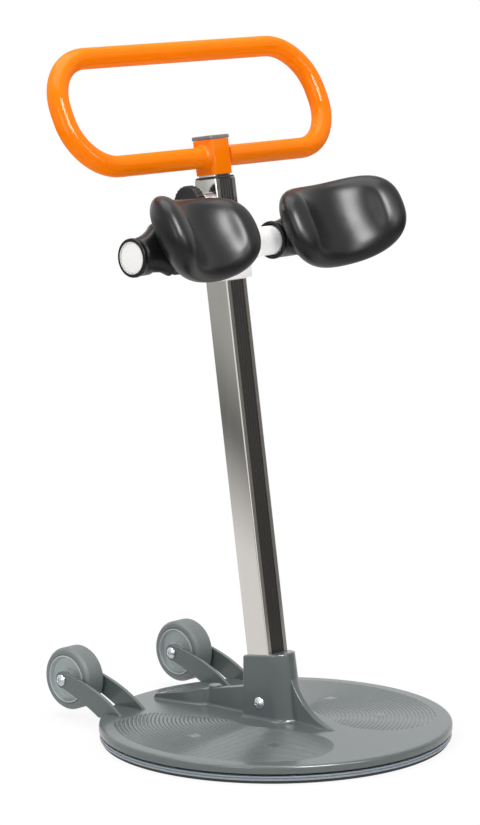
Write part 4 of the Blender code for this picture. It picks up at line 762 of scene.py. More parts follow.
fin_crest = curved((-0.0280, FIN_TOP), (-0.0515, 0.0330), (-0.1030, 0.0222), 28)
fin_crest = np.concatenate(([(-0.0200, FIN_TOP + 0.0040)], fin_crest, [(-0.1044, 0.0212)]))
fin_half = FIN_HALF * np.clip((fin_crest[:, 0] - FIN_TOE) / 0.010, 0.12, 1) ** 0.6
fin = plate_piece("front_fin", rib(fin_crest, fin_half, fin_half + FIN_DRAFT), LOFT)
gusset_line = through(GUSSET_STATIONS, steps=4)
gusset_y, gusset_z, gusset_half = gusset_line.T
gusset_rise = gusset_z - plate_top(gusset_y) + RIB_SINK
gusset_foot = gusset_half + GUSSET_DRAFT * gusset_rise
gusset = plate_piece("rear_gusset", rib(gusset_line[:, :2], gusset_half, gusset_foot), LOFT)
boss_corners = ((0, BOSS_TOP), (0.0088, BOSS_TOP), (0.0095, BOSS_LOW), (0, BOSS_LOW))
boss_rows = lathe(filleted(boss_corners, (0, 0.0014, 0, 0)), steps=40) + (0, BOSS_Y, 0)
plate_piece("gusset_boss", on_base(boss_rows), LATHE)
print("fin", faces_of(fin), "and gusset", faces_of(gusset), "faces")

# %% [markdown]
# ## Fork arms
# Two arms carry each wheel. Each is a flat plate with a convex back and a round eye, and its
# moulded edges are rounded, which draws the bright lines along its back. The outline is a
# curve in the side view, given a thickness, and a bevel rounds the edges.

# %% Fork arms
WHEEL_X, WHEEL_Y, WHEEL_Z = 0.1045, 0.2717, 0.0504
TYRE_WIDTH = 0.0325
SIDE_GAP = 0.0033
FORK_THICKNESS = 0.0050
FORK_EYE = 0.0115
FORK_EDGE = 0.0010
FORK_SHARP = math.radians(50)
EYE_START, EYE_END = math.radians(95), math.radians(-100)
eye_turn = np.linspace(EYE_START, EYE_END, 26)
eye = circle(eye_turn, FORK_EYE) + (WHEEL_Y, WHEEL_Z)
fork_back = curved((0.1582, 0.0178), (0.1977, 0.0505), eye[0], 22)
fork_under = curved(eye[-1], (0.2312, 0.0272), (0.2020, 0.0110), 16)
fork_line = np.concatenate((fork_back, eye[1:], fork_under[1:], [(0.1660, 0.0110)]))
fork_offset = TYRE_WIDTH / 2 + SIDE_GAP + FORK_THICKNESS / 2
for side, word in SIDES:
    for place, sign in (("outer", side), ("inner", -side)):
        x = side * WHEEL_X + sign * fork_offset
        faces_x = np.array((x - FORK_THICKNESS / 2, x + FORK_THICKNESS / 2))[:, None]
        arm = built(
            f"{word}_{place}_fork_arm",
            on_base(points(faces_x, fork_line[:, 0], fork_line[:, 1])), LOFT,
            plate_paint, "platform", f"{word}_fork_{place}",
        )
        edge = arm.modifiers.new("rounded edges", "BEVEL")
        edge.width, edge.segments, edge.limit_method = FORK_EDGE, 3, "ANGLE"
        edge.angle_limit = FORK_SHARP
print("fork arms", fork_line.shape[0], "points round")

# %% [markdown]
# ## Wheels
# Solid rubber tyres with round shoulders on grey hubs. The hub shows a raised ring, a recessed
# web and a boss, all turned about the axle, so one profile draws each of them.

# %% Wheels
TYRE_RADIUS = 0.0420
TYRE_SEAT = 0.0325
TYRE_SHOULDER = TYRE_RADIUS - 0.0032
HALF = TYRE_WIDTH / 2
BEAD_RADIUS, BEAD_FACE, BEAD_HALF = 0.0312, 0.0161, 0.0009
WHEEL_STEPS = 96
tyre_side = np.array((
    (TYRE_SEAT, HALF - 0.0012), (TYRE_SEAT + 0.0012, HALF), (TYRE_SHOULDER, HALF),
    (TYRE_RADIUS, HALF - 0.0046),
))
tyre_radii = (0.0004, 0.0008, 0.0035, 0.0035)
tyre_profile = filleted(
    np.concatenate((tyre_side * (1, -1), tyre_side[::-1])), tyre_radii + tyre_radii[::-1],
    5, closed=True,
)
hub_side = np.array((
    (0.0078, 0.0150), (0.0126, 0.0150), (0.0134, 0.0096), (0.0262, 0.0090), (0.0290, 0.0100),
    (0.0303, 0.0158), (0.0314, 0.0163), (0.0322, 0.0158),
))
hub_profile = filleted(
    np.concatenate((hub_side, hub_side[::-1] * (1, -1))),
    (0.0003, 0.0008, 0.0016, 0.0014, 0.0014, 0.0008, 0.0008, 0.0003) * 2, closed=True,
)
bead_ring = circle(whole_turn(12), BEAD_HALF)


def on_wheel(side, word, name, profile, paint, part):
    """A shape turned about the axle of the left or the right wheel."""
    rows = axle(profile, WHEEL_STEPS, (side * WHEEL_X, WHEEL_Y, WHEEL_Z))
    body, node = f"{word}_wheel", f"{word}_{part}"
    return built(f"{word}_{name}", on_base(rows), RING, paint, body, node)


for side, word in SIDES:
    tyre = on_wheel(side, word, "wheel_tyre", tyre_profile, tyre_paint, "tyre")
    hub = on_wheel(side, word, "wheel_hub", hub_profile, hub_paint, "hub")
# A thin bead lies on the raised ring of each hub face. The ring is real shape, and the bead's
# lighter grey is a painted highlight where its edge catches the light.
for side, word in SIDES:
    for face in (-1, 1):
        name = "hub_highlight_bead_inner" if face == side else "hub_highlight_bead_outer"
        bead = bead_ring + (BEAD_RADIUS, face * BEAD_FACE)
        on_wheel(side, word, name, bead, bead_highlight_paint, "hub")
print("tyre", faces_of(tyre), "hub", faces_of(hub), "faces")

# %% [markdown]
# ## Screws
# The axle bolts and the socket's screw end in zinc-plated domes with a small flange and a
# shallow cross recess. A dome is a lathe profile; the recess only lowers the points whose
# angle is near one of the four arms.

# %% Screw heads
SHANK_RADIUS = 0.0040
SCREW_END = 0.0060
SCREW_RADIUS, SOCKET_SCREW_RADIUS = 0.0078, 0.0086
CROSS_DEPTH, CROSS_REACH, CROSS_HEART, CROSS_ARM = 0.0014, 0.52, 0.14, 0.35
ROUND_STEPS = 48


def screw_head(name, place, node, length, head=SCREW_RADIUS):
    """A pan head on a shank along +X: z falls off towards the rim as a power of r."""
    dome = np.linspace(0, 0.88, 14)
    r = np.concatenate((head * dome, head * np.array((0.965, 1, 1)), (SHANK_RADIUS,) * 2, (0,)))
    z = head * np.concatenate((0.66 - 0.52 * dome**2.4, (0.215, 0.13, 0.03, 0.03)))
    z = np.concatenate((z, (-length, -length)))
    grid = lathe(np.stack((r, z), axis=-1), ROUND_STEPS)
    arm = abs(np.sin(2 * whole_turn(ROUND_STEPS))) < CROSS_ARM
    inside, heart = r[:, None] < CROSS_REACH * head, r[:, None] < CROSS_HEART * head
    grid[..., 2] -= CROSS_DEPTH * (inside & (arm | heart) & (z[:, None] > 0.002))
    x, y, z = np.moveaxis(grid, -1, 0)
    return built(name, place(points(-z, y, x)), LATHE, zinc_paint, "platform", node)


fork_span = TYRE_WIDTH + 2 * SIDE_GAP + 2 * FORK_THICKNESS
for side, word in SIDES:
    head = np.array((side * WHEEL_X - fork_span / 2 - GAP, WHEEL_Y, WHEEL_Z))
    screw_head(
        f"{word}_axle_screw", lambda p: on_base(p + head), f"{word}_axle_bolt",
        fork_span + SCREW_END,
    )
print("axle screws", round(1000 * fork_span, 1), "mm under the head")

# %% [markdown]
# ## Column
# The column is a chromed square tube with a black ribbed strip let into its front and rear
# faces. The section is drawn once with its channels and swept; the strip's section is a row of
# flat ribs. The chrome's edges need their true small radius, because it holds the highlight.

# %% Square tubes and strips
TUBE_BOTTOM, TUBE_TOP = 0.0307, 0.7312
TUBE_WALL, TUBE_CORNER = 0.0025, 0.0015
TUBE_RIM = 0.0003
BUSH_HALF, BUSH_INNER, BUSH_HEIGHT = 0.0190, 0.0150, 0.0030
BUSH_CORNER, BUSH_INNER_CORNER = 0.0034, 0.0022
STRIP_WIDTH, STRIP_THICKNESS = 0.0230, 0.0009
STRIP_NOTCH = 0.00045
CHANNEL_DEPTH = STRIP_THICKNESS + GAP


def tube_outline(half, corner, channel_half, depth, steps=7):
    """A square's outline with round corners and a channel in the +Y and the -Y face."""
    arc = round_rectangle(half, half, corner, steps)
    count = steps + 1
    groove = np.array(((1, 0), (1, -1), (-1, -1), (-1, 0)), float) * (channel_half, depth)
    top, low = groove + (0, half), groove * (-1, -1) - (0, half)
    return np.concatenate((arc[:count], top, arc[count : 3 * count], low, arc[3 * count :]))


def tube(name, half, wall, corner, channel_half, low, high, body, node):
    """A hollow bar: rows run outside from bottom to top, then inside back to the bottom."""
    outer = tube_outline(half, corner, channel_half, CHANNEL_DEPTH)
    shy = tube_outline(half - TUBE_RIM, corner, channel_half, CHANNEL_DEPTH)
    inner = tube_outline(half - wall, max(corner - wall, 0.001), channel_half * 0.9, 0.00001)
    rows = (
        (shy, low), (outer, low + TUBE_RIM), (outer, high - TUBE_RIM),
        (shy, high), (inner, high), (inner, low),
    )
    grid = np.stack([points(line[:, 0], line[:, 1], z) for line, z in rows])
    return built(name, on_column(grid), RING, chrome_paint, body, node)


def strips(name, width, ribs, face, low, high, body, node):
    """A front and a rear strip whose section is a wave: flat ribs with V notches."""
    rib_x = np.arange(ribs)[:, None] - ribs / 2 + np.array((0.04, 0.22, 0.78, 0.96))
    rib_y = np.tile((STRIP_NOTCH, 0.0, 0.0, STRIP_NOTCH), (ribs, 1))
    x = np.concatenate(([-width / 2], rib_x.ravel() * width / ribs, [width / 2] * 2, [-width / 2]))
    y = np.concatenate(([0.0001], rib_y.ravel(), [0.0001], [STRIP_THICKNESS] * 2)) - face
    for sign, word in ((1, "front"), (-1, "rear")):
        rows = points(sign * x, sign * y, [[low], [high]])
        strip = built(
            f"{name}_{word}", on_column(rows), LOFT, strip_paint, body, f"{node}_{word}"
        )
    return strip


column = tube(
    "chromed_column", TUBE_SIDE / 2, TUBE_WALL, TUBE_CORNER, STRIP_WIDTH / 2 + GAP,
    TUBE_BOTTOM, TUBE_TOP, "platform", "column_tube",
)
strip = strips(
    "column_strip", STRIP_WIDTH, 5, TUBE_SIDE / 2, SOCKET_TOP + 2 * GAP, TUBE_TOP,
    "platform", "column_rail",
)
bush_line = filleted(
    ((BUSH_INNER, 0), (BUSH_HALF, 0), (BUSH_HALF, 0.0012), (0.0174, BUSH_HEIGHT),
     (BUSH_INNER, BUSH_HEIGHT)),
    (0, 0.0003, 0.0004, 0.0005, 0.0002),
) + (0, TUBE_TOP + GAP)
bush_corners = np.where(bush_line[:, 0] > BUSH_INNER + GAP, BUSH_CORNER, BUSH_INNER_CORNER)
bush_rows = squares(bush_line, bush_corners, 6)
built("column_bush", on_column(bush_rows), RING, strip_paint, "platform", "column_top_bush")
print("column", faces_of(column), "strip", faces_of(strip), "faces")

# %% [markdown]
# ## Lock boss and socket screw
# Near its top the column carries a plated ring for the stud of the height lock. Low down, a
# screw crosses the socket from side to side and holds the column in the plate.

# %% Lock boss and socket screw
LOCK_HEIGHT = 0.7030
STUD_BORE = 0.0043
LOCK_LOW = TUBE_SIDE / 2 + GAP
LOCK_RADIUS, LOCK_LENGTH = 0.0122, 0.0120
SOCKET_SCREW_HEIGHT = 0.0463
SCREW_SINK = 0.0028
lock_line = block(
    STUD_BORE, LOCK_RADIUS, -LOCK_LOW, -LOCK_LOW - LOCK_LENGTH, (0, 0.0003, 0.0010, 0.0004)
)
built(
    "lock_boss_ring", on_column(axle(lock_line, ROUND_STEPS, (0, 0, LOCK_HEIGHT))), RING,
    zinc_paint, "platform", "lock_boss",
)
screw_share = (SOCKET_SCREW_HEIGHT - SOCKET_FLOOR) / SOCKET_RISE
screw_out = HALF_FOOT + (HALF_TOP - HALF_FOOT) * screw_share - SCREW_SINK
screw_place = np.array((-screw_out, 0.0012, SOCKET_SCREW_HEIGHT - 0.0015))
screw_head(
    "socket_screw_head", lambda p: on_column(p + screw_place), "socket_screw",
    2 * screw_out + SCREW_END, SOCKET_SCREW_RADIUS,
)
print("socket screw at", round(1000 * screw_out, 1), "mm from the middle")

# %% [markdown]
# ## Handle
# A square sleeve is welded between the ends of a bent tube and closed by a grey cap. The loop
# is a round section swept along straights and quarter bends. The weld is a small concave
# fillet where the tube meets the sleeve, drawn as a flared end of the same section.

# %% Loop
INNER_HALF = 0.0147
SLEEVE_INNER, SLEEVE_WALL = INNER_HALF + GAP, 0.0029
SLEEVE_HALF = SLEEVE_INNER + SLEEVE_WALL
SLEEVE_LOW, SLEEVE_HIGH = 0.7366, 0.7824
LOOP_RADIUS = 0.01375
LOOP_HALF, LOOP_HEIGHT, LOOP_BEND = 0.2355, 0.1478, 0.0680
LOOP_TILT = math.radians(17.6)
LOOP_CENTRE = SLEEVE_LOW + 0.0232
LOOP_START = SLEEVE_HALF + GAP
# The weld: distances from the sleeve, and how far the section grows there.
WELD_REACH = np.array((0.0, 0.0012, 0.0030, 0.0056))
WELD_GROWTH = np.array((0.0042, 0.0024, 0.0009, 0.0))


def bend(centre_x, centre_y, start):
    """A quarter bend in the loop's plane."""
    return circle(start + quarter_turn(25), LOOP_BEND) + (centre_x, centre_y)


near, far, top = LOOP_HALF - LOOP_BEND, LOOP_BEND - LOOP_HALF, LOOP_HEIGHT - LOOP_BEND
weld = np.stack((LOOP_START + WELD_REACH, 0 * WELD_REACH), axis=-1)
loop_line = np.concatenate((
    weld, bend(near, LOOP_BEND, -math.pi / 2), bend(near, top, 0),
    bend(far, top, math.pi / 2), bend(far, LOOP_BEND, math.pi), weld[::-1] * (-1, 1),
))
plain_count = len(loop_line) - 2 * len(weld)
loop_grow = np.concatenate((WELD_GROWTH, np.zeros(plain_count), WELD_GROWTH[::-1]))
loop_a = whole_turn(ROUND_STEPS)
loop_r = LOOP_RADIUS + loop_grow[:, None] + 0 * loop_a
plane = loop_line[:, None] + normals(loop_line)[:, None] * (loop_r * np.cos(loop_a))[..., None]
loop_rows = points(plane[..., 0], -loop_r * np.sin(loop_a), plane[..., 1])
loop_rows = turned_x(loop_rows, -LOOP_TILT) + (0, 0, LOOP_CENTRE)
loop = built("bent_loop", on_column(loop_rows), LOFT, orange_paint, "lift_handle", "handle_loop")
print("loop", faces_of(loop), "faces")

# %% [markdown]
# ## Sleeve, sliding tube and cap
# The sleeve is a short piece of square tube under the same enamel. The tube that it carries
# slides in the column and has narrower strips. The cap is moulded, with a crowned top and a
# spigot that goes into the tube.

# %% Sleeve, inner tube, cap
INNER_LENGTH = 0.4200
INNER_WALL, INNER_CORNER = 0.0020, 0.0013
INNER_STRIP_WIDTH, INNER_STRIP_START = 0.0190, 0.0303
SLEEVE_CORNER, SLEEVE_INNER_CORNER = 0.0056, 0.0026
CAP_LOW = SLEEVE_HIGH + GAP
sleeve_line = block(
    SLEEVE_INNER, SLEEVE_HALF, SLEEVE_LOW, SLEEVE_HIGH, (0.0003, 0.0007, 0.0007, 0.0003)
)
outside = sleeve_line[:, 0] > SLEEVE_INNER + SLEEVE_WALL / 2
sleeve_rows = squares(sleeve_line, np.where(outside, SLEEVE_CORNER, SLEEVE_INNER_CORNER))
sleeve = built(
    "loop_sleeve", on_column(sleeve_rows), RING, orange_paint, "lift_handle", "handle_sleeve"
)
inner_low = SLEEVE_HIGH - INNER_LENGTH
tube(
    "sliding_tube", INNER_HALF, INNER_WALL, INNER_CORNER, INNER_STRIP_WIDTH / 2 + GAP,
    inner_low, SLEEVE_HIGH, "lift_handle", "inner_tube",
)
strips(
    "sliding_strip", INNER_STRIP_WIDTH, 4, INNER_HALF, inner_low + INNER_STRIP_START,
    SLEEVE_LOW - GAP, "lift_handle", "inner_rail",
)
cap_line = np.concatenate((
    ((0.0120, -0.0150), (0.0120, 0.0), (0.0178, 0.0), (0.0180, 0.0006), (0.0179, 0.0034)),
    curved((0.0178, 0.0040), (0.0176, 0.0047), (0.0166, 0.0049), 4),
    curved((0.0120, 0.0051), (0.0060, 0.0052), (0.0006, 0.0052), 4),
)) + (0, CAP_LOW)
cap = built(
    "grey_cap", on_column(squares(cap_line, np.minimum(0.0030, cap_line[:, 0] * 0.5))), LOFT,
    cap_paint, "lift_handle", "handle_cap", CAP_ANGLE,
)
print("sleeve", faces_of(sleeve), "cap", faces_of(cap), "faces")

# %% [markdown]
# ## Knobs
# Both clamps are turned by the same round knob: a flat face with a soft edge, a rim of fine
# ribs, and a hub towards the column. The rim radius is a rounded wave of the angle.

# %% Knobs
KNOB_RIBS = 24
RIB_DEPTH = 0.0012
CLAMP_Y, CLAMP_HEIGHT = 0.0050, 0.6372
# From the middle of the face to the end of the hub: x, radius and depth of the ribs.
KNOB_LINE = np.array((
    (0.0008, 0, 0), (0.0008, 0.0100, 0), (0.0008, 0.0170, 0), (0.0003, 0.0178, 0),
    (0.0, 0.0196, 0), (0.0001, 0.0212, 0.1), (0.0006, 0.0223, 0.5), (0.0016, 0.0230, 0.9),
    (0.0028, 0.0232, 1), (0.0112, 0.0232, 1), (0.0126, 0.0230, 0.9), (0.0136, 0.0222, 0.5),
    (0.0140, 0.0205, 0.1), (0.0140, 0.0120, 0), (0.0146, 0.0115, 0), (0.0200, 0.0112, 0),
    (0.0200, 0, 0),
))


def knob(name, face, body, node):
    """A knob along +X from its face: the ribs fade out at the face and the back."""
    a = whole_turn(10 * KNOB_RIBS)
    wave = np.clip(0.5 - 0.9 * np.cos(KNOB_RIBS * a), 0, 1)
    x, r, ribbed = (column[:, None] for column in KNOB_LINE.T)
    radius = r - RIB_DEPTH * ribbed * (1 - wave)
    rows = points(x + 0 * a, radius * np.cos(a), radius * np.sin(a)) + np.array(face)
    return built(name, on_column(rows), LATHE, knob_paint, body, node)


height_knob = knob("height_clamp_knob", (-0.0575, 0, LOCK_HEIGHT), "height_lock", "height_knob")
knob("support_clamp_knob", (-0.0880, CLAMP_Y, CLAMP_HEIGHT), "support_lock", "support_knob")
print("knob", faces_of(height_knob), "faces")

# %% [markdown]
# ## Shin support
# A white collar slides on the column. It carries a saddle for the cross tube and a boss for
# the clamp. Each is a closed shape of its own with its true radius, set into the next.

# %% Support collar and cross tube
SUPPORT_LOW, SUPPORT_HIGH = 0.5996, 0.6822
SUPPORT_HALF, SUPPORT_INNER = 0.0265, 0.0211
SUPPORT_CORNER, SUPPORT_INNER_CORNER = 0.0080, 0.0049
CROSS_Y, CROSS_HEIGHT = -0.0466, 0.6442
CROSS_BORE, CROSS_RADIUS, CROSS_HALF = 0.0170, 0.0190, 0.2081
SADDLE_RADIUS = 0.0208
WEB_HALF, WEB_HALF_HEIGHT, WEB_Y = 0.0140, 0.0150, -0.0310
NECK_RADIUS, NECK_START, NECK_END = 0.0115, 0.0240, 0.0600
PLUG_RADIUS, PLUG_START, PLUG_END = 0.0166, 0.1950, 0.2104
cross_centre = (0, CROSS_Y, CROSS_HEIGHT)


def supported(name, rows, kind, node, paint=white_paint):
    """A piece of the shin support, given in the column frame."""
    return built(name, on_column(rows), kind, paint, "shin_support", node)


collar_line = block(
    SUPPORT_INNER, SUPPORT_HALF, SUPPORT_LOW, SUPPORT_HIGH, (0.0005, 0.0018, 0.0018, 0.0005), 5
)
collar_depth = SUPPORT_HALF - collar_line[:, 0]
collar_corners = np.maximum(SUPPORT_CORNER - collar_depth, SUPPORT_INNER_CORNER)
collar = supported("support_collar", squares(collar_line, collar_corners), RING, "support_carrier")
saddle_line = block(
    CROSS_RADIUS + GAP, SADDLE_RADIUS, -0.0170, 0.0120, (0.0003, 0.0006, 0.0006, 0.0003)
)
saddle = supported(
    "cross_saddle", axle(saddle_line, WHEEL_STEPS, cross_centre), RING, "support_carrier"
)
web_line = block(
    0, WEB_HALF, CROSS_HEIGHT - WEB_HALF_HEIGHT, CROSS_HEIGHT + WEB_HALF_HEIGHT,
    (0, 0.0015, 0.0015, 0), closed=False,
)
web_line[:, 0] = np.maximum(web_line[:, 0], 0.0004)
web_rows = squares(web_line, 0.1 * web_line[:, 0], 6, depth=0.5, shift_y=WEB_Y)
supported("saddle_web", web_rows, LOFT, "support_carrier")
clamp_line = block(STUD_BORE, NECK_RADIUS, -NECK_START, -NECK_END, (0, 0, 0.0010, 0.0004))
clamp_rows = axle(clamp_line, ROUND_STEPS, (0, CLAMP_Y, CLAMP_HEIGHT))
supported("clamp_neck", clamp_rows, RING, "support_carrier")
cross_rows = axle(
    block(CROSS_BORE, CROSS_RADIUS, -CROSS_HALF, CROSS_HALF, 0), WHEEL_STEPS, cross_centre
)
supported("white_cross_tube", cross_rows, RING, "cross_tube")
plug_line = filleted(
    ((0, PLUG_END), (CROSS_RADIUS, PLUG_END), (CROSS_RADIUS, CROSS_HALF + GAP),
     (PLUG_RADIUS, CROSS_HALF + GAP), (PLUG_RADIUS, PLUG_START), (0, PLUG_START)),
    (0, 0.0010, 0.0002, 0, 0.0004, 0),
)
for side, word in SIDES:
    plug_rows = axle(plug_line * (1, side), WHEEL_STEPS, cross_centre)
    supported(f"{word}_tube_plug", plug_rows, LATHE, f"{word}_end_plug", plug_paint)
print("collar", faces_of(collar), "saddle", faces_of(saddle), "faces")

# %% [markdown]
# ## Cup pads
# Each pad is moulded black foam with a smooth skin. Two full lobes roll forward round a deep
# trough, and concave necks run to the rings on the cross tube. The cushion is a dense sphere
# moved point by point: each direction is pushed into a squarish outline, thinned at the waist,
# dished in front and bent round an upright cylinder.

# %% Pad paint
pad_paint = Paint("pad_black")
pad_lumps = pad_paint.noise(26.0, 3.0)
pad_pores = pad_paint.noise(1700.0)
pad_paint.set(
    Base_Color=pad_paint.mix(pad_lumps, (0.006, 0.006, 0.0065), (0.011, 0.011, 0.0115)),
    Roughness=0.29 + pad_lumps * 0.08,
    Specular_IOR_Level=0.26,
    Normal=pad_paint.bump(pad_pores * 0.3 + pad_lumps * 0.7, 0.10, 0.0008),
)
print("pad paint", len(pad_paint.tree.nodes), "nodes")

# %% Pads
PAD_TILTS = {"left": math.radians(32.7), "right": math.radians(28.6)}
PAD_BORE = 0.0208
PAD_HALF_HEIGHT, PAD_WAIST = 0.0648, 0.11
PAD_ARC, PAD_ROUND = 0.1040, 0.1079
PAD_CENTRE, PAD_FORWARD, PAD_TOE = 0.1313, 0.0299, math.radians(11.5)
# For each ring: its place, the end of it along the tube, its inward direction and its length.
PAD_RINGS = (("inner", 0.0425, 1, 0.0410), ("outer", 0.2112, -1, 0.0240))


def swell(value, power):
    """A power that keeps the sign."""
    return np.sign(value) * abs(value) ** power


def cushion(side, rings=96, segments=160):
    """The cushion's grid: rows run from pole to pole of a sphere, columns round its outline.

    The outline's u and v are powers of the sphere's. The height shrinks by the waist's share
    of 1 - u^2, the dish is a power of 1 - (u^2 + v^2) / 0.72, and each lobe adds a bell curve
    at |u| = 0.8. The bend carries a point of depth d across by (R - d) sin t and forward by
    R - R cos t + d cos t, where t is its share of the arc over R.
    """
    b = np.linspace(-math.pi / 2, math.pi / 2, rings)[:, None]
    a = whole_turn(segments)[None]
    flat, z = np.cos(b), np.sin(b) + 0 * a
    spread = np.clip(flat, 0, 1) ** 0.60
    u = spread * swell(np.cos(a), 0.81)
    v = spread * swell(np.sin(a), 0.81)
    height = PAD_HALF_HEIGHT * (1 - PAD_WAIST * (1 - u * u)) * v
    inside = np.clip(1 - (u * u + v * v) / 0.72, 0, None)
    depth = (0.0202 + 0.0068 * u * u) * z - 0.0060 * inside**1.5 * (z > 0)
    depth = depth + 0.0045 * np.exp(-(((abs(u) - 0.80) / 0.16) ** 2)) * np.clip(z, 0, 1)
    turn = PAD_ARC * u / PAD_ROUND
    across = (PAD_ROUND - depth) * np.sin(turn)
    forward = PAD_ROUND * (1 - np.cos(turn)) + depth * np.cos(turn)
    toe = PAD_TOE * side
    x = across * math.cos(toe) - forward * math.sin(toe) + side * PAD_CENTRE
    y = -(across * math.sin(toe) + forward * math.cos(toe) + PAD_FORWARD)
    return points(x, y, height)


def neck(side, start, grow):
    """A horn from a ring to the cushion: oval sections that grow in height and reach forward.

    With s from 0 to 1 along the horn, the half height is 22.5 mm + 13 mm s^2.4, and the
    front edge runs from 23.6 mm to 33 mm before the axis with the square root of s.
    """
    s = np.linspace(0, 1, 28)
    half = 0.0225 + 0.0130 * s**2.4
    front = -0.0236 - 0.0094 * s**0.5
    back = 0.0232 - 0.0192 * np.clip(s / 0.75, 0, 1) ** 1.3
    x = side * (start + grow * (0.0050 + 0.0350 * s))
    a = whole_turn(ROUND_STEPS)
    middle, long = (front + back) / 2, (back - front) / 2
    y = middle[:, None] + long[:, None] * swell(np.cos(a), 0.9)
    z = half[:, None] * swell(np.sin(a), 0.9)
    return points(x[:, None], y, z)


def pad_piece(word, name, rows, kind, soft=LOBE_ANGLE):
    """A piece of the left or the right pad, tilted about the cross tube."""
    rows = turned_x(rows, LEAN - PAD_TILTS[word]) + cross_centre
    body, node = f"{word}_shin_pad", f"{word}_pad"
    return built(f"{word}_{name}", on_column(rows), kind, pad_paint, body, node, soft)


for side, word in SIDES:
    pad = pad_piece(word, "shin_cushion", cushion(side), LATHE)
    for spot, end, inward, length in PAD_RINGS:
        ring_line = filleted(
            ((PAD_BORE, 0), (0.0246, 0), (0.0249, 0.0040), (0.0238, 0.0090), (0.0236, length),
             (PAD_BORE, length)),
            (0.0006, 0.0020, 0.0016, 0.0006, 0, 0), 5, closed=True,
        )
        ring_rows = axle(ring_line * (1, -1), WHEEL_STEPS) * (-side * inward, 1, 1)
        pad_piece(word, f"{spot}_pad_ring", ring_rows + (side * end, 0, 0), RING, SOFT_ANGLE)
        pad_piece(word, f"{spot}_pad_neck", neck(side, end, inward), LOFT)
print("cushion", faces_of(pad), "faces")

# %% [markdown]
# ## Parts that keep their CAD mesh
# Liners, bushes, studs, nuts and the glide are plain hidden shapes that need no finer form.
# They keep their mesh and only get the procedural materials.

# %% Materials of the kept parts
KEPT = (
    (liner_paint, (
        "carrier_liner", "pivot_bush", "glide_ring", "left_bush", "right_bush",
        "left_pad_liner_inner", "left_pad_liner_outer",
        "right_pad_liner_inner", "right_pad_liner_outer",
    )),
    (strip_paint, ("inner_glide",)),
    (zinc_paint, (
        "height_stud", "support_stud", "pivot_bolt", "pivot_washer", "pivot_nut",
        "left_axle_nut", "right_axle_nut", "socket_nut",
    )),
)
for paint, names in KEPT:
    for name in names:
        for holder in bpy.data.objects[name].material_slots:
            holder.material = paint.material
print("kept", sum(len(names) for paint, names in KEPT), "parts")

# %% [markdown]
# ## Floor
# The photo has a pure white background and only a faint shadow round the mat. A pale floor
# takes the shadow and glows as white paper to the camera. In reflections its glow darkens
# with the distance, as a studio floor does away from its lamps.

# %% Floor
FLOOR_HALF = 6.0
FLOOR_HEIGHT = -0.0002


def staged(name, corners, paint):
    """A flat sheet of the studio, which is no part of the object."""
    data = bpy.data.meshes.new(name)
    data.from_pydata(corners, [], [(0, 1, 2, 3)])
    data.materials.append(paint.material)
    sheet = linked(name, data)
    return sheet


paper = Paint("floor_white")
paper.set(Base_Color=(0.92, 0.92, 0.92), Roughness=0.9, Specular_IOR_Level=0.0)
away = paper.node("ShaderNodeVectorMath", {"operation": "LENGTH"}, {0: paper.place()}, "Value")
near = paper.mix((away * 0.9 - 1.1).clamped(), (0.90, 0.88, 0.86), (0.17, 0.17, 0.16))
seen = paper.mix((away * 0.8 - 2.0).clamped(), near, (0.46, 0.46, 0.43))
white = paper.mix(paper.ray("Is Camera Ray"), seen, (1.0, 1.0, 1.0))
glow = paper.node("ShaderNodeEmission", {}, {"Color": white, "Strength": 1.0})
mirrored = paper.ray("Is Glossy Ray") + paper.ray("Is Transmission Ray")
share = (paper.ray("Is Camera Ray") * (away * 0.10 + 0.86) + mirrored).clamped()
matt = Wire(paper, paper.shader.outputs[0])
both = paper.node("ShaderNodeMixShader", {}, {0: share, 1: matt, 2: glow})
paper.feed(paper.tree.nodes["Material Output"].inputs[0], both)
floor_corners = [
    (x * FLOOR_HALF, y * FLOOR_HALF, FLOOR_HEIGHT)
    for x, y in ((-1, -1), (1, -1), (1, 1), (-1, 1))
]
staged("studio_floor", floor_corners, paper)
print("floor paint", len(paper.tree.nodes), "nodes")

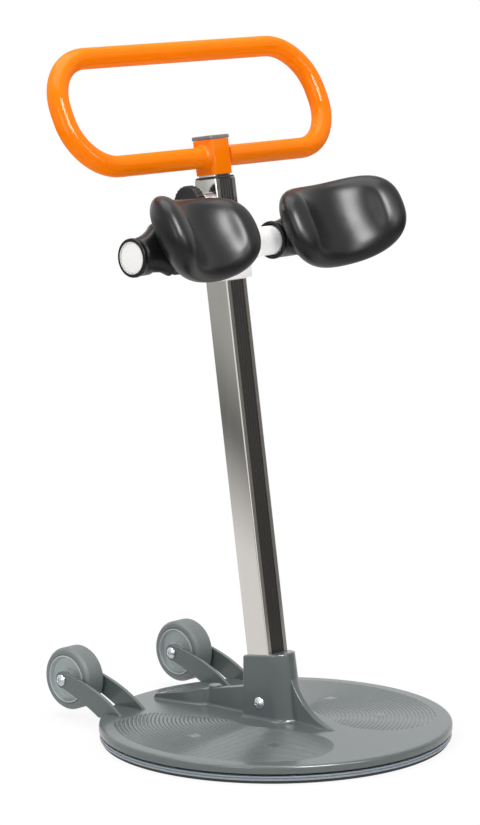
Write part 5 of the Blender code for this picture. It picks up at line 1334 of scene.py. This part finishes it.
# %% [markdown]
# ## World and lamps
# The world is white for the camera and in reflections, and softer for the rest of the light.
# Large soft lamps stand over and beside the object. One lamp shows only in reflections and
# gives the pads and the loop their highlights. A dark card stands outside the picture, for
# the chrome to mirror. It takes no part in diffuse light and casts no shadow.

# %% World and lamps
AMBIENT = 0.43
CARD_BLACK = (0.33, 0.315, 0.29)
world = bpy.data.worlds.new("studio")
bpy.context.scene.world = world
world.use_nodes = True
sky = Graph(world.node_tree)
sky.tree.nodes.clear()
plain = sky.ray("Is Camera Ray")
for kind in ("Is Glossy Ray", "Is Transmission Ray"):
    plain = plain.math("MAXIMUM", plain, sky.ray(kind))
soft, full = (
    sky.node("ShaderNodeBackground", {}, {"Color": (1.0, 1.0, 1.0), "Strength": strength})
    for strength in (AMBIENT, 1.0)
)
choice = sky.node("ShaderNodeMixShader", {}, {0: plain, 1: soft, 2: full})
sky.feed(sky.tree.nodes.new("ShaderNodeOutputWorld").inputs["Surface"], choice)


def soft_light(name, place, target, width, height, power):
    """A rectangular area lamp at a place that looks at a target."""
    data = bpy.data.lights.new(name, "AREA")
    data.shape = "RECTANGLE"
    data.size, data.size_y = width, height
    data.energy = power
    lamp = linked(name, data)
    lamp.location = place
    look = Vector(target) - Vector(place)
    lamp.rotation_euler = look.to_track_quat("-Z", "Y").to_euler()
    return lamp


# Place, target, width and height in metres, and power in watts.
soft_light("over", (-0.2, 0.4, 2.6), (0, 0, 0.3), 2.2, 2.2, 54.0)
soft_light("left", (-2.4, -0.8, 1.45), (0, 0, 0.85), 0.9, 1.2, 17.0)
soft_light("front", (0.3, -1.9, 1.35), (0, 0, 0.85), 0.5, 0.8, 11.0)
sheen = soft_light("front_sheen", (-0.45, -1.65, 2.10), (0, 0, 0.65), 1.0, 1.0, 108.0)
sheen.visible_diffuse = False
card_paint = Paint("card_black")
card_paint.set(Base_Color=CARD_BLACK, Roughness=1.0, Specular_IOR_Level=0.0)
card_corners = [(2.2, -4.0, -0.1), (4.4, -1.9, -0.1), (4.4, -1.9, 1.5), (2.2, -4.0, 1.5)]
card = staged("dark_card", card_corners, card_paint)
card.visible_diffuse = card.visible_shadow = False
